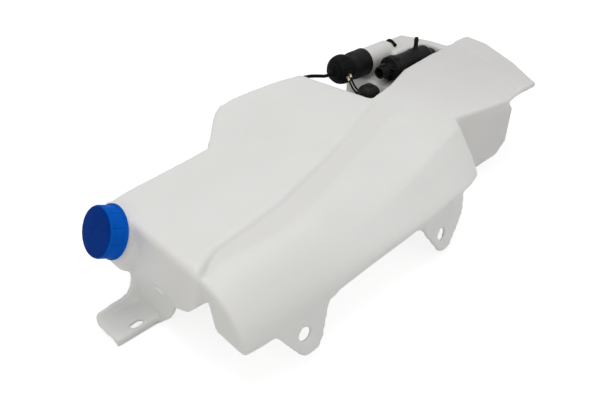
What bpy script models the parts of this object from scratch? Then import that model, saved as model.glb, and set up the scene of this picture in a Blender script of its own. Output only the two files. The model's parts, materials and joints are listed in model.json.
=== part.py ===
"""Washer fluid reservoir: a blow-moulded tank with a screw cap, two pumps and a level sensor.

The tank lies on its flat underside. X runs along it from the filler neck, Y to the back and Z up, in metres.
The origin is on the underside, below the middle of the tank.
"""

import math

import bmesh
import bpy
from mathutils import Matrix, Vector

# Clearances and sides of round pieces
GAP = 0.0003
SIDES_LARGE = 24
SIDES_SMALL = 12

# Tank walls and heights
WALL = 0.003
TOP_Z = 0.107
STEP = 0.0002
EDGE_RADIUS = 0.007
FOOT_RADIUS = 0.010
NEAR_X = -0.309
END_LEAN = 0.30
END_LEAN_Z = 0.080
NEAR_UNDERSIDE_Z = 0.055
SUMP_START_X = -0.262
SUMP_FULL_X = -0.205

# Guide curves of the tank, seen from above
CREASE_UPPER = [(-0.309, -0.097), (-0.266, -0.079), (-0.227, -0.074), (-0.170, -0.064), (-0.095, -0.042),
                (-0.028, -0.020), (0.030, 0.006), (0.107, 0.032)]
CREASE_LOWER = [(-0.309, -0.097), (-0.262, -0.096), (-0.226, -0.099), (-0.190, -0.097), (-0.144, -0.088),
                (-0.097, -0.073), (-0.042, -0.056), (0.024, -0.034), (0.107, -0.010)]
BACK_EDGE = [(-0.309, 0.048), (-0.299, 0.050), (-0.172, 0.067), (-0.155, 0.075), (-0.100, 0.136), (-0.082, 0.143),
             (0.049, 0.155), (0.107, 0.160)]
FRONT_EDGE = [(-0.309, -0.153), (-0.272, -0.1566), (-0.040, -0.1566), (0.033, -0.150), (0.079, -0.145),
              (0.107, -0.137)]

# Lobe along the front
LOBE_NEAR_X = -0.300
LOBE_FAR_X = 0.107
LOBE_END_SLANT = 0.53
LOBE_CREST_Z = 0.100
LOBE_CREST_FAR_Z = 0.1066
LOBE_LIP_Z = 0.053
LOBE_LIP_FAR_Z = 0.060
LOBE_BAND_Z = 0.0975
LOBE_KEEL_Y = -0.112
LOBE_HEEL_Y = -0.1010
LOBE_NEAR_UNDERSIDE_Z = 0.0475
LOBE_NOTCH_Z = 0.069
LOBE_NOTCH_SLOPE = 0.0080
LOBE_DEPTH = 0.045
LOBE_TUCK = 0.014
LOBE_SHOULDER = 0.63
LOBE_SHOULDER_SOFTNESS = 0.15
LOBE_ROLL = [(0.0028, 0.0052), (0.0085, 0.0072)]

# Far end with its end wall and flange
FAR_WALL = [(0.202, -0.103), (0.290, 0.038)]
FRONT_WALL = [(0.052, -0.0520), (0.102, -0.0805), (0.140, -0.0899)]
FAR_WALL_FOOT = 0.044
FRONT_WALL_FOOT = 0.014
FLANGE_EDGE = [(0.270, -0.098), (0.280, -0.083), (0.313, -0.039), (0.353, 0.032), (0.365, 0.071)]
FLANGE_CREASE = [(0.232, -0.0995), (0.284, -0.031), (0.318, 0.041), (0.326, 0.0712)]
FLANGE_THICKNESS = 0.0055
FLANGE_STEP = 0.0018

# Pump bay
BAY_LEFT_X = 0.061
BAY_LEFT_SLANT = 0.107
BAY_FLOOR_Z = 0.048
BAY_EDGE = [(0.0745, 0.029), (0.127, 0.041), (0.182, 0.0605), (0.261, 0.0695), (0.311, 0.0695)]
BACK_Y = 0.155
SHELF_X = 0.163
SHELF_Z = 0.0775
BLOCK_X = 0.222
END_WALL_X = 0.290

BAY_FORM = [(0.045, 0.012), (0.185, 0.012), (0.185, 0.150), (0.045, 0.150)]
SHELF_FORM = [(SHELF_X, 0.048), (0.304, 0.048), (0.304, BACK_Y - 0.001), (SHELF_X, BACK_Y - 0.001)]
BLOCK_FORM = [(BLOCK_X, 0.106), (END_WALL_X, 0.106), (END_WALL_X, 0.060), (0.310, 0.060), (0.310, 0.100),
              (0.302, 0.134), (0.296, BACK_Y), (BLOCK_X, BACK_Y)]
SEAT_LENGTH = 0.060

# Filler neck and cap; the axis points out of the tank
NECK_RIM_CENTRE = (-0.3134, 0.0305, 0.0898)
NECK_TILT = math.radians(27.5)
NECK_RADIUS = 0.0232
NECK_BORE = 0.0200
NECK_LENGTH = 0.0125
NECK_ROOT = 0.045
COLLAR_RADIUS = 0.0262
COLLAR_ROOT_RADIUS = 0.0300
COLLAR_FOOT = 0.024
COLLAR_EDGE = 0.006
CAP_CLEARANCE = 0.001
CAP_WALL = 0.0020
CAP_RIM_STEP = 0.0018
CAP_RIM_HEIGHT = 0.003
CAP_HEIGHT = 0.0185
CAP_TOP = 0.003
CAP_THREAD_GAP = 0.0010
CAP_GRIP_RADIUS = NECK_RADIUS + CAP_THREAD_GAP + CAP_WALL
CAP_RIM_RADIUS = CAP_GRIP_RADIUS + CAP_RIM_STEP
CAP_PANELS = 10
CAP_PANEL_DEPTH = 0.0008
SEAL_THICKNESS = 0.0024

# Fixing ears on the front, hung from the lobe. Each leans out by the tilt about a line at EAR_Y and EAR_TOP_Z. Its
# points are given as (distance along that line from the root, distance below it); above it the ear bends back into
# the lobe by its rise and set-back
EAR_Y = -0.1566
EAR_TOP_Z = 0.055
EAR_TILT = math.radians(13)
EAR_THICKNESS = 0.0042
EAR_1 = {"root": -0.2670, "turn": 0.0, "hole": (0.0317, 0.0205), "tip": (0.0365, 0.0270), "tip_radius": 0.0183,
         "tip_arc": (26, 160), "left": [(-0.0070, -0.0120), (-0.0040, 0.0000), (0.0005, 0.0040)],
         "right": [(0.0663, 0.0069), (0.0765, 0.0000), (0.0830, -0.0120)], "set_back": 0.0095}
EAR_2 = {"root": -0.0526, "turn": math.radians(5.5), "hole": (0.0360, 0.0250), "tip": (0.0425, 0.0280),
         "tip_radius": 0.0204, "tip_arc": (29, 141),
         "left": [(-0.0130, -0.0130), (-0.0080, -0.0040), (0.0010, 0.0008), (0.0076, 0.0127)],
         "right": [(0.0694, 0.0334), (0.0777, 0.0241), (0.0832, 0.0137), (0.0850, 0.0040), (0.0880, -0.0130)],
         "set_back": 0.0130}
EAR_HOLE_RADIUS = 0.0072

# Fixing leg under the neck: a channel along X whose back wall climbs to the tank
LEG_END_X = -0.3555
LEG_FRONT_Y = -0.0250
LEG_BACK_Y = 0.0175
LEG_TOP_Z = 0.0095
LEG_WALL = 0.0042
LEG_FILLET = 0.009
LEG_BOW = 0.0036
LEG_BOW_DEPTH = 0.014
LEG_NOSE = 0.0035
LEG_BACK_TOP = [(-0.3555, 0.0120), (-0.3535, 0.0146), (-0.3490, 0.0162), (-0.3400, 0.0170), (-0.3260, 0.0180),
                (-0.3190, 0.0205), (-0.3150, 0.0260), (-0.3120, 0.0350), (-0.3100, 0.0470), (-0.3075, 0.0620)]
SLOT_CENTRE = (-0.330, -0.0165)
SLOT_LENGTH = 0.0140
SLOT_WIDTH = 0.0072

# Pumps; each has its axis along X and plugs into a wall of the tank at its seat
PUMP_1 = {"name": "pump_1", "seat_x": 0.172, "y": 0.133, "z": 0.098, "cover": 0.0172, "cover_start": -0.0600,
          "head": 0.0197, "head_start": -0.0215, "head_end": -0.0015, "spigot": (0, 1, 0), "terminal": 0.0048,
          "nozzle_drop": 0.0}
PUMP_2 = {"name": "pump_2", "seat_x": END_WALL_X, "y": 0.087, "z": 0.098, "cover": 0.0148, "cover_start": -0.1060,
          "head": 0.0150, "head_start": -0.0540, "head_end": -0.0280, "spigot": (0, 0, 1), "terminal": 0.0120,
          "nozzle_drop": 0.0060}
COVER_WALL = 0.0015
COVER_END = 0.0020
CAN_WALL = 0.0008
MAGNET_THICKNESS = 0.0023
MAGNET_SPAN = math.radians(130)
AIR_GAP = 0.0006
SHAFT_RADIUS = 0.0012
COMMUTATOR_RADIUS = 0.0035
CORE_POLES = 5
BRUSH_SIZE = (0.0050, 0.0030)
TERMINAL_SIZE = (0.0008, 0.0028)
TERMINAL_OFFSET = 0.0030
HEAD_WALL = 0.0020
SEAL_RADIUS = 0.0042
IMPELLER_VANES = 6
IMPELLER_HEIGHT = 0.005
NOZZLE_RADIUS = 0.0055
NOZZLE_BORE = 0.0032
NOZZLE_REACH = 0.0120
CONE_END = 0.0060
SPIGOT_RADIUS = 0.00325
SPIGOT_BORE = 0.0018
SPIGOT_LENGTH = 0.018
SPIGOT_PLACE = 0.0090
SOCKET_RADIUS = 0.0092
SOCKET_WALL = 0.0022
SOCKET_LENGTH = 0.024
COLLAR_2_RADIUS = 0.0198
COLLAR_2_LENGTH = 0.011
BOOT_END = -0.068
BOOT_REACH = -0.042
BOOT_RADIUS = 0.0190

# Grommets and their holes in the tank wall
GROMMET_HOLE = 0.0085
GROMMET_FLANGE = 0.0015
GROMMET_LIP = 0.0022
STRAINER_RADIUS = 0.0080
STRAINER_LENGTH = 0.0100

# Level sensor on the floor of the bay
SENSOR_AXIS = (0.119, 0.071)
SENSOR_RADIUS = 0.018
SENSOR_TOP_Z = 0.0965
STEM_RADIUS = 0.0042
STEM_END_Z = 0.0370
REED_RADIUS = 0.0016
REED_LENGTH = 0.0120
FLOAT_PIVOT_Z = 0.0305
FLOAT_LENGTH = 0.0170
FLOAT_WIDTH = 0.0110
FLOAT_PLAY = 0.0006
FORK_WALL = 0.0016
MAGNET_RADIUS = 0.0022
PIN_RADIUS = 0.0010

# Vent tube on the block
VENT_FOOT = (0.249, 0.145)
VENT_RADIUS = 0.0028
VENT_ROUTE = [(0.0, 0.0, -0.0045), (0.0, 0.0, 0.0015), (-0.0003, -0.0016, 0.0046), (-0.0016, -0.0060, 0.0066),
              (-0.0045, -0.0140, 0.0062), (-0.0090, -0.0245, 0.0036)]

# Cords, as chosen by hand: the cable to the vehicle and the two leads to the sensor
CABLE_RADIUS = 0.0025
CABLE_ROUTE = [(0.1037, 0.1330, 0.0985), (0.0980, 0.1330, 0.0985), (0.0910, 0.1340, 0.0992), (0.0800, 0.1400, 0.1010),
               (0.0700, 0.1490, 0.1000), (0.0600, 0.1590, 0.0940), (0.0500, 0.1660, 0.0800), (0.0400, 0.1700, 0.0580),
               (0.0280, 0.1720, 0.0340), (0.0100, 0.1735, 0.0130), (-0.0160, 0.1735, 0.0040), (-0.0450, 0.1730, 0.0030),
               (-0.0750, 0.1720, 0.0048), (-0.0800, 0.1720, 0.0048)]
PLUG_SIZE = (0.024, 0.013, 0.009)
PLUG_CLEARANCE = 0.0003
LEAD_RADIUS = 0.0009
LEAD_ROUTE_A = [(0.1215, 0.1136, 0.0975), (0.1213, 0.1100, 0.0975), (0.1185, 0.1048, 0.0965), (0.1138, 0.1005, 0.0940),
                (0.1098, 0.0967, 0.0902), (0.1084, 0.0929, 0.0864), (0.1097, 0.0901, 0.0847), (0.1109, 0.0876, 0.0845)]
LEAD_ROUTE_B = [(0.1183, 0.1146, 0.0955), (0.1181, 0.1110, 0.0955), (0.1150, 0.1056, 0.0945), (0.1100, 0.1010, 0.0922),
                (0.1050, 0.0962, 0.0890), (0.1033, 0.0908, 0.0854), (0.1053, 0.0873, 0.0838), (0.1071, 0.0852, 0.0836)]


# Helpers: plane outlines

def rounded(corners, radius, steps=3):
    """The outline with an arc of the radius at each corner; a corner may name its own radius as a third number."""
    points = []
    count = len(corners)
    for i, corner in enumerate(corners):
        here = Vector(corner[:2])
        before = Vector(corners[i - 1][:2]) - here
        after = Vector(corners[(i + 1) % count][:2]) - here
        size = corner[2] if len(corner) > 2 else radius
        half = before.angle(after) / 2
        reach = size / math.tan(half)
        limit = 0.48 * min(before.length, after.length)
        if size <= 0 or math.degrees(half) > 88:
            points.append((here.x, here.y))
            continue
        reach = min(reach, limit)
        size = reach * math.tan(half)
        middle = here + (before.normalized() + after.normalized()).normalized() * (size / math.sin(half))
        start = here + before.normalized() * reach - middle
        end = here + after.normalized() * reach - middle
        turn = start.angle_signed(end)
        for k in range(steps + 1):
            arm = start.copy()
            arm.rotate(Matrix.Rotation(-turn * k / steps, 2))
            points.append(tuple(middle + arm))
    return points


def inward(outline):
    """For each corner, the vector by which it moves when every side moves in by one unit."""
    area = sum(a[0] * b[1] - b[0] * a[1] for a, b in zip(outline, outline[1:] + outline[:1]))
    side = 1 if area > 0 else -1
    moves = []
    for i, point in enumerate(outline):
        here = Vector(point[:2])
        arriving = (here - Vector(outline[i - 1][:2])).normalized()
        leaving = (Vector(outline[(i + 1) % len(outline)][:2]) - here).normalized()
        normal = (arriving + leaving).normalized().orthogonal() * side
        cosine = max(0.35, normal.dot(arriving.orthogonal() * side))
        moves.append(normal / cosine)
    return moves


def along(points, x):
    """The height of a smooth curve through the points at x."""
    last = len(points) - 2
    i = max(0, min(last, sum(1 for p in points if p[0] <= x) - 1))
    x0, y0 = points[i]
    x1, y1 = points[i + 1]
    before = points[i - 1] if i > 0 else points[i]
    after = points[i + 2] if i < last else points[i + 1]
    span = x1 - x0
    slope_0 = (y1 - before[1]) / (x1 - before[0]) * span
    slope_1 = (after[1] - y0) / (after[0] - x0) * span
    t = min(1.0, max(0.0, (x - x0) / span))
    return ((2 * t ** 3 - 3 * t ** 2 + 1) * y0 + (t ** 3 - 2 * t ** 2 + t) * slope_0
            + (3 * t ** 2 - 2 * t ** 3) * y1 + (t ** 3 - t ** 2) * slope_1)


def eased(x, start, end):
    """A smooth rise from 0 at the start to 1 at the end."""
    t = min(1.0, max(0.0, (x - start) / (end - start)))
    return t * t * (3 - 2 * t)


# Helpers: solids

def clear_scene():
    for obj in list(bpy.data.objects):
        bpy.data.objects.remove(obj, do_unlink=True)


def material(name, colour, roughness, metallic=0.0):
    finish = bpy.data.materials.get(name) or bpy.data.materials.new(name)
    finish.use_nodes = True
    shader = finish.node_tree.nodes["Principled BSDF"]
    shader.inputs["Base Color"].default_value = (*colour, 1.0)
    shader.inputs["Roughness"].default_value = roughness
    shader.inputs["Metallic"].default_value = metallic
    finish.diffuse_color = (*colour, 1.0)
    return finish


def white_plastic():
    return material("white_plastic", (0.80, 0.80, 0.77), 0.45)


def blue_plastic():
    return material("blue_plastic", (0.010, 0.105, 0.56), 0.35)


def black_plastic():
    return material("black_plastic", (0.018, 0.019, 0.020), 0.42)


def black_rubber():
    return material("black_rubber", (0.014, 0.014, 0.015), 0.70)


def steel():
    return material("steel", (0.58, 0.58, 0.60), 0.30, 1.0)


def copper():
    return material("copper", (0.70, 0.32, 0.17), 0.35, 1.0)


def brass():
    return material("brass", (0.72, 0.52, 0.22), 0.32, 1.0)


def ferrite():
    return material("ferrite", (0.045, 0.045, 0.050), 0.65)


def carbon():
    return material("carbon", (0.030, 0.030, 0.032), 0.55)


def glass():
    return material("glass", (0.80, 0.85, 0.84), 0.10)


def add(name, bm, finish, matrix=None, origin=(0, 0, 0), sharp=35):
    """Makes the named object. Its origin is at the given point of the mesh, or its mesh lies in the matrix."""
    bmesh.ops.recalc_face_normals(bm, faces=bm.faces)
    mesh = bpy.data.meshes.new(name)
    bm.to_mesh(mesh)
    bm.free()
    mesh.transform(Matrix.Translation(-Vector(origin)))
    mesh.shade_smooth()
    mesh.set_sharp_from_angle(angle=math.radians(sharp))
    obj = bpy.data.objects.new(name, mesh)
    bpy.context.scene.collection.objects.link(obj)
    obj.matrix_world = (matrix or Matrix.Identity(4)) @ Matrix.Translation(origin)
    if finish:
        mesh.materials.append(finish)
    return obj


def helper(name, bm, matrix=None):
    """A form that is only joined to a piece or cut from one."""
    obj = add(name, bm, None, matrix)
    obj.hide_render = True
    obj.display_type = "WIRE"
    return obj


def combine(obj, others, operation):
    """Joins the helpers to the object, or cuts them from it."""
    for other in others:
        step = obj.modifiers.new(operation.title() + "_" + other.name, "BOOLEAN")
        step.operation = operation
        step.object = other
        step.solver = "EXACT"


def combine_all(obj, others, operation, group):
    """As combine, with all the helpers in one step."""
    forms = bpy.data.collections.new(group)
    bpy.context.scene.collection.children.link(forms)
    for other in others:
        forms.objects.link(other)
    step = obj.modifiers.new(operation.title() + "_" + group, "BOOLEAN")
    step.operation = operation
    step.operand_type = "COLLECTION"
    step.collection = forms
    step.solver = "EXACT"


def facing(point, direction):
    """The matrix that puts a piece drawn along Z at the point, along the direction."""
    turn = Vector(direction).to_track_quat("Z", "Y").to_matrix().to_4x4()
    return Matrix.Translation(point) @ turn


def turned(profile, sides, angle=math.tau):
    """A closed profile of (radius, height) turned about Z. One of its sides may lie on the axis."""
    count = len(profile)
    starts = [i for i in range(count) if profile[i][0] == 0 and profile[(i + 1) % count][0] > 0]
    if starts:
        profile = profile[starts[0]:] + profile[:starts[0]]
    bm = bmesh.new()
    verts = [bm.verts.new((radius, 0, height)) for radius, height in profile]
    pairs = list(zip(verts, verts[1:]))
    if not starts:
        pairs.append((verts[-1], verts[0]))
    edges = [bm.edges.new(pair) for pair in pairs]
    whole = angle == math.tau
    if not whole:
        bm.faces.new(verts)
        edges = list(bm.edges) + list(bm.faces)
    bmesh.ops.spin(bm, geom=verts + edges, cent=(0, 0, 0), axis=(0, 0, 1), angle=angle, steps=sides,
                   use_merge=whole)
    bmesh.ops.remove_doubles(bm, verts=bm.verts, dist=0.00001)
    bmesh.ops.dissolve_degenerate(bm, edges=bm.edges, dist=0.000001)
    return bm


def loft(rings):
    """A closed solid through rings of as many points each."""
    bm = bmesh.new()
    rows = [[bm.verts.new(point) for point in ring] for ring in rings]
    loops = []
    for row in rows:
        loops.append([bm.edges.new(pair) for pair in zip(row, row[1:] + row[:1])])
    for i in range(len(rows) - 1):
        for k in range(len(rows[i])):
            n = (k + 1) % len(rows[i])
            bm.faces.new((rows[i][k], rows[i][n], rows[i + 1][n], rows[i + 1][k]))
    bm.faces.new(rows[0])
    bm.faces.new(rows[-1])
    return bm


def extruded(outline, plane, start, end):
    """An outline in the plane XY, XZ or YZ, extruded along the third direction."""
    places = {"XY": lambda a, b, c: (a, b, c), "XZ": lambda a, b, c: (a, c, b), "YZ": lambda a, b, c: (c, a, b)}
    place = places[plane]
    return loft([[place(a, b, start) for a, b in outline], [place(a, b, end) for a, b in outline]])


def upright(outline, bottom, top, crown=0.0, wall=0.0, steps=3):
    """An upright form. A corner's third number is the radius that rounds the wall into the floor there."""
    flat = [corner[:2] for corner in outline]
    moves = inward(flat)
    feet = [corner[2] if len(corner) > 2 else 0.0 for corner in outline]
    low = bottom + wall
    high = top - wall
    heights = {low, high - max(0.0, crown - wall), high}
    for radius in set(feet) - {0.0}:
        for k in range(1, steps + 1):
            heights.add(low + (radius - wall) * (1 - math.cos(math.pi / 2 * k / steps)))
    for k in range(1, steps):
        heights.add(high - max(0.0, crown - wall) * (1 - math.sin(math.pi / 2 * k / steps)))
    levels = sorted(heights)
    levels = [z for i, z in enumerate(levels) if i == 0 or z - levels[i - 1] > 0.0002]
    rings = []
    for z in levels:
        ring = []
        for point, move, foot in zip(flat, moves, feet):
            inset = wall + quarter(foot - wall, z - low) + quarter(crown - wall, high - z)
            ring.append((point[0] + move.x * inset, point[1] + move.y * inset, z))
        rings.append(ring)
    return loft(rings)


def quarter(radius, height):
    """How far a rounded edge of the radius stands back at the height."""
    if radius <= 0 or height >= radius:
        return 0.0
    return radius - math.sqrt(max(0.0, radius ** 2 - (radius - height) ** 2))


def block(size, centre):
    bm = bmesh.new()
    bmesh.ops.create_cube(bm, size=1.0)
    bmesh.ops.scale(bm, vec=size, verts=bm.verts)
    bmesh.ops.translate(bm, vec=centre, verts=bm.verts)
    return bm


def pillow(start, end, radius):
    """Stations with their insets, that round both ends of a loft."""
    depths = [(0.0, 1.0), (0.13, 0.5), (0.5, 0.13)]
    first = [(start + radius * a, radius * b) for a, b in depths]
    last = [(end - radius * a, radius * b) for a, b in reversed(depths)]
    return first, last


# The tank's forms, each drawn for its outer face with no wall, or for its hollow with the wall

def plate_form(wall=0.0):
    """The flat-topped body behind the upper crease, with the shoulder in its back edge."""
    def ring(x, inset):
        deep = inset + wall
        floor = 2 * STEP + NEAR_UNDERSIDE_Z * (1 - eased(x, SUMP_START_X, SUMP_FULL_X)) + (wall if x < 0 else deep)
        front = along(CREASE_UPPER, x) + deep
        back = along(BACK_EDGE, x) - deep
        slant = BAY_LEFT_SLANT * eased(x, BAY_LEFT_X - 0.06, BAY_LEFT_X)
        top = max(0.001, EDGE_RADIUS - deep)
        foot = max(0.001, (FOOT_RADIUS - deep) * eased(x, NEAR_X, NEAR_X + 0.060))
        corners = [(front, floor, foot), (back, floor, foot), (back, TOP_Z - deep, top), (front, TOP_Z - deep, top)]
        lean = END_LEAN * (1 - eased(x, NEAR_X, NEAR_X + 0.040))
        return [(x + slant * (BACK_Y - y) + lean * max(0.0, z - END_LEAN_Z), y, z) for y, z in rounded(corners, 0, 2)]

    first, last = pillow(NEAR_X + wall, BAY_LEFT_X - wall, 0.006)
    middle = [-0.298, -0.285, -0.262, -0.243, -0.226, -0.205, -0.190, -0.172, -0.160, -0.146, -0.130, -0.114, -0.100,
              -0.086, -0.066, -0.042, -0.015, 0.012, 0.036, 0.048]
    stations = first + [(x, 0.0) for x in middle] + last
    return loft([ring(x, inset) for x, inset in stations])


def lobe_height(u, far):
    """The lobe's height between its lip (0) and its crest (1), at u from the crest (0) to the front (1).

    The near end is a quarter round. The far end stays flat up to its shoulder and then falls straight.
    """
    near = max(0.0, 1 - u * u) ** 0.62
    bend = (u - LOBE_SHOULDER) / (1 - LOBE_SHOULDER)
    straight = 1 - 0.5 * (bend + math.sqrt(bend * bend + LOBE_SHOULDER_SOFTNESS ** 2))
    return near + (max(0.0, straight) - near) * far


def lobe_form(wall=0.0):
    """The rounded body along the front, from the sloping near end to the slanted far end."""
    def ring(x, inset):
        deep = inset + wall
        far = eased(x, -0.150, LOBE_FAR_X)
        notch = 1 - eased(x, SUMP_START_X, SUMP_FULL_X)
        crest_y = along(CREASE_LOWER, x)
        crest_z = LOBE_CREST_Z + (LOBE_CREST_FAR_Z - LOBE_CREST_Z) * far - deep
        front = along(FRONT_EDGE, x) + deep
        lip = LOBE_LIP_Z + (LOBE_LIP_FAR_Z - LOBE_LIP_Z) * far
        band = LOBE_BAND_Z + (LOBE_CREST_FAR_Z - 0.0006 - LOBE_BAND_Z) * far - deep
        start = along(CREASE_UPPER, x)
        depth = LOBE_DEPTH + (LOBE_TUCK - LOBE_DEPTH) * eased(x, -0.06, 0.04)
        back = start + depth - deep
        floor = LOBE_NEAR_UNDERSIDE_Z * notch + deep
        roof = floor + 0.0006 + (LOBE_NOTCH_Z - LOBE_NEAR_UNDERSIDE_Z) * notch
        heel = back - 0.006 + (LOBE_HEEL_Y - back + 0.006) * notch - 0.6 * deep * notch
        points = [(back, roof), (back, band), (start - 0.002, band), ((start + crest_y) / 2, band - 0.0008)]
        for u in (0.0, 0.20, 0.38, 0.52, 0.64, 0.75, 0.85, 0.93, 0.98, 1.0):
            points.append((crest_y + u * (front - crest_y), lip + (crest_z - lip) * lobe_height(u, far)))
        for (y, drop), share in zip(LOBE_ROLL, (0.5, 0.8)):
            points.append((front + y, lip - drop + share * deep))
        points += [(LOBE_KEEL_Y + 0.4 * deep, floor), (heel, floor)]
        points.append((heel + 0.003 + (LOBE_NOTCH_SLOPE - 0.003) * notch, roof))
        slant = LOBE_END_SLANT * eased(x, -0.030, LOBE_FAR_X)
        return [(x + slant * (y + 0.083), y, z) for y, z in points]

    first, last = pillow(LOBE_NEAR_X + wall, LOBE_FAR_X - wall, 0.004)
    middle = [-0.290, -0.276, -0.262, -0.248, -0.233, -0.218, -0.205, -0.186, -0.165, -0.144, -0.120, -0.096, -0.070,
              -0.042, -0.014, 0.014, 0.040, 0.062, 0.084]
    stations = first + [(x, 0.0) for x in middle] + last
    return loft([ring(x, inset) for x, inset in stations])


def far_form(wall=0.0):
    """The deep far end, with its flat front wall, its slanted end wall and their rounded lower edges."""
    outline = [(*point, FRONT_WALL_FOOT) for point in FRONT_WALL]
    outline += [(*point, FAR_WALL_FOOT) for point in FAR_WALL] + [(*BAY_EDGE[-1], 0.006)]
    outline += [(*point, 0.0) for point in reversed(BAY_EDGE[:-1])]
    outline += [(0.024, 0.032, 0.0)]
    return upright(outline, STEP, TOP_Z - STEP, crown=0.005, wall=wall)


def block_form(wall=0.0):
    """The block behind the pumps, with the wall that pump 2 plugs into."""
    return upright(BLOCK_FORM, 3 * STEP, TOP_Z - 2 * STEP, crown=0.005, wall=wall)


def shelf_form(wall=0.0):
    """The lower block under the pumps, whose top is the floor of the channel."""
    return upright(SHELF_FORM, 4 * STEP, SHELF_Z, crown=0.002, wall=wall)


def bay_form(wall=0.0):
    """The shallow part of the tank below the bay."""
    return upright(BAY_FORM, 5 * STEP, BAY_FLOOR_Z, crown=0.0, wall=wall)


def seat_form(wall=0.0):
    """The round moulded seat that pump 1 plugs into."""
    radius = PUMP_1["head"] - 0.0005 - wall
    length = SEAT_LENGTH - 2 * wall
    place = facing((PUMP_1["seat_x"] + wall, PUMP_1["y"], PUMP_1["z"]), (1, 0, 0))
    return turned([(0, 0), (radius - 0.002, 0), (radius, 0.002), (radius, length), (0, length)], SIDES_LARGE), place


def flange_form():
    outline = [(0.150, -0.0905), (0.202, -0.1018), (0.232, -0.0995)] + FLANGE_EDGE + [(0.300, 0.0712), (0.150, 0.010)]
    outline = rounded([(*p, 0.006) if p in (FLANGE_EDGE[0], FLANGE_EDGE[-1]) else p for p in outline], 0.0, 3)
    return upright(outline, TOP_Z - FLANGE_THICKNESS, TOP_Z - 0.0003, crown=0.0012)


def strip_form():
    """The raised strip along the outer edge of the flange, beyond the crease."""
    inset = [Vector(a) - Vector((0.0012, -0.0004)) for a in FLANGE_EDGE]
    outline = [tuple(p) for p in inset] + list(reversed(FLANGE_CREASE))
    outline = rounded([(*p, 0.005) for p in outline], 0.0, 2)
    return upright(outline, TOP_Z - FLANGE_THICKNESS + 0.002, TOP_Z + FLANGE_STEP, crown=0.0015)


def ear_matrix(ear, along_root=0.0, down=0.0):
    """The place of a point on an ear's face, with X along its root, Y into the ear and Z up the ear."""
    root = Matrix.Translation((ear["root"], EAR_Y, EAR_TOP_Z)) @ Matrix.Rotation(ear["turn"], 4, "Z")
    return root @ Matrix.Rotation(-EAR_TILT, 4, "X") @ Matrix.Translation((along_root, 0, -down))


def ear_form(ear):
    """A hanging ear: its sides flare into the lobe, its tip is round, and its upper part bends back into the lobe."""
    tip_x, tip_down = ear["tip"]
    radius = ear["tip_radius"]
    start, end = (math.radians(angle) for angle in ear["tip_arc"])
    angles = [start + (end - start) * k / 9 for k in range(10)]
    arc = [(tip_x - radius * math.cos(a), tip_down + radius * math.sin(a)) for a in angles]
    outline = [(x, -down) for x, down in ear["left"] + arc + ear["right"]]
    bm = extruded(outline, "XZ", 0.0, EAR_THICKNESS)
    bmesh.ops.bisect_plane(bm, geom=bm.verts[:] + bm.edges[:] + bm.faces[:], dist=0.00001, plane_co=(0, 0, 0),
                           plane_no=(0, 0, 1))
    rise = -ear["left"][0][1]
    for vert in bm.verts:
        vert.co.y += ear["set_back"] * max(0.0, vert.co.z) / rise
    return bm


def leg_form():
    """The slotted foot with its rounded gutter and the back wall that climbs to the tank."""
    def ring(x, back_top, inset):
        wall = LEG_WALL
        front = LEG_FRONT_Y + inset
        back = LEG_BACK_Y - 0.6 * inset
        crest = back_top - 0.5 * inset
        under = LEG_TOP_Z - wall
        bow = LEG_BOW * (1 - eased(x, LEG_END_X, LEG_END_X + LEG_BOW_DEPTH))
        middle = (LEG_FRONT_Y + LEG_BACK_Y) / 2
        half = (LEG_BACK_Y - LEG_FRONT_Y) / 2
        return [(x - bow * (1 - ((y - middle) / half) ** 2), y, z) for y, z in rounded([
            (front, 0.0), (front, LEG_TOP_Z, LEG_NOSE), (back - wall, LEG_TOP_Z, LEG_FILLET),
            (back - wall, crest + LEG_FILLET), (back, crest + LEG_FILLET), (back, 0.0), (back - wall, 0.0),
            (back - wall - 0.001, under, 0.003), (front + wall, under, 0.001), (front + wall, 0.0)], 0.0, 3)]

    start, lift = LEG_BACK_TOP[0]
    rings = [ring(start, lift - LEG_FILLET, 0.0022), ring(start + 0.0008, lift - LEG_FILLET + 0.001, 0.0008)]
    for x, top in LEG_BACK_TOP[1:]:
        rings.append(ring(x, top - LEG_FILLET, 0.0))
    return loft(rings)


def leg_plate_form():
    """The lower part of the near end, which carries the leg."""
    top = NEAR_UNDERSIDE_Z + 0.0025
    plate = rounded([(-0.086, top), (-0.077, 0.053, 0.006), (-0.064, 0.049, 0.010), (-0.042, 0.017, 0.010),
                     (LEG_FRONT_Y, 0.0), (LEG_BACK_Y, 0.0), (LEG_BACK_Y + 0.0015, 0.040),
                     (LEG_BACK_Y + 0.0015, top)], 0.0, 3)
    return extruded(plate, "YZ", NEAR_X + 0.0003, NEAR_X + 0.0003 + 1.4 * LEG_WALL)


def slot_outline():
    """The round-ended slot in the foot, along X."""
    x, y = SLOT_CENTRE
    reach = SLOT_LENGTH / 2
    half = SLOT_WIDTH / 2
    return rounded([(x - reach, y - half), (x + reach, y - half), (x + reach, y + half), (x - reach, y + half)],
                   0.98 * half, 4)


def neck_matrix():
    return facing(NECK_RIM_CENTRE, (-math.cos(NECK_TILT), 0, math.sin(NECK_TILT)))


def pump_matrix(pump):
    return facing((pump["seat_x"], pump["y"], pump["z"]), (1, 0, 0))


def nozzle_matrix(pump):
    """As pump_matrix, on the axis of the inlet nozzle, which may lie below the axis of the motor."""
    return facing((pump["seat_x"], pump["y"], pump["z"] - pump["nozzle_drop"]), (1, 0, 0))


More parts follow.
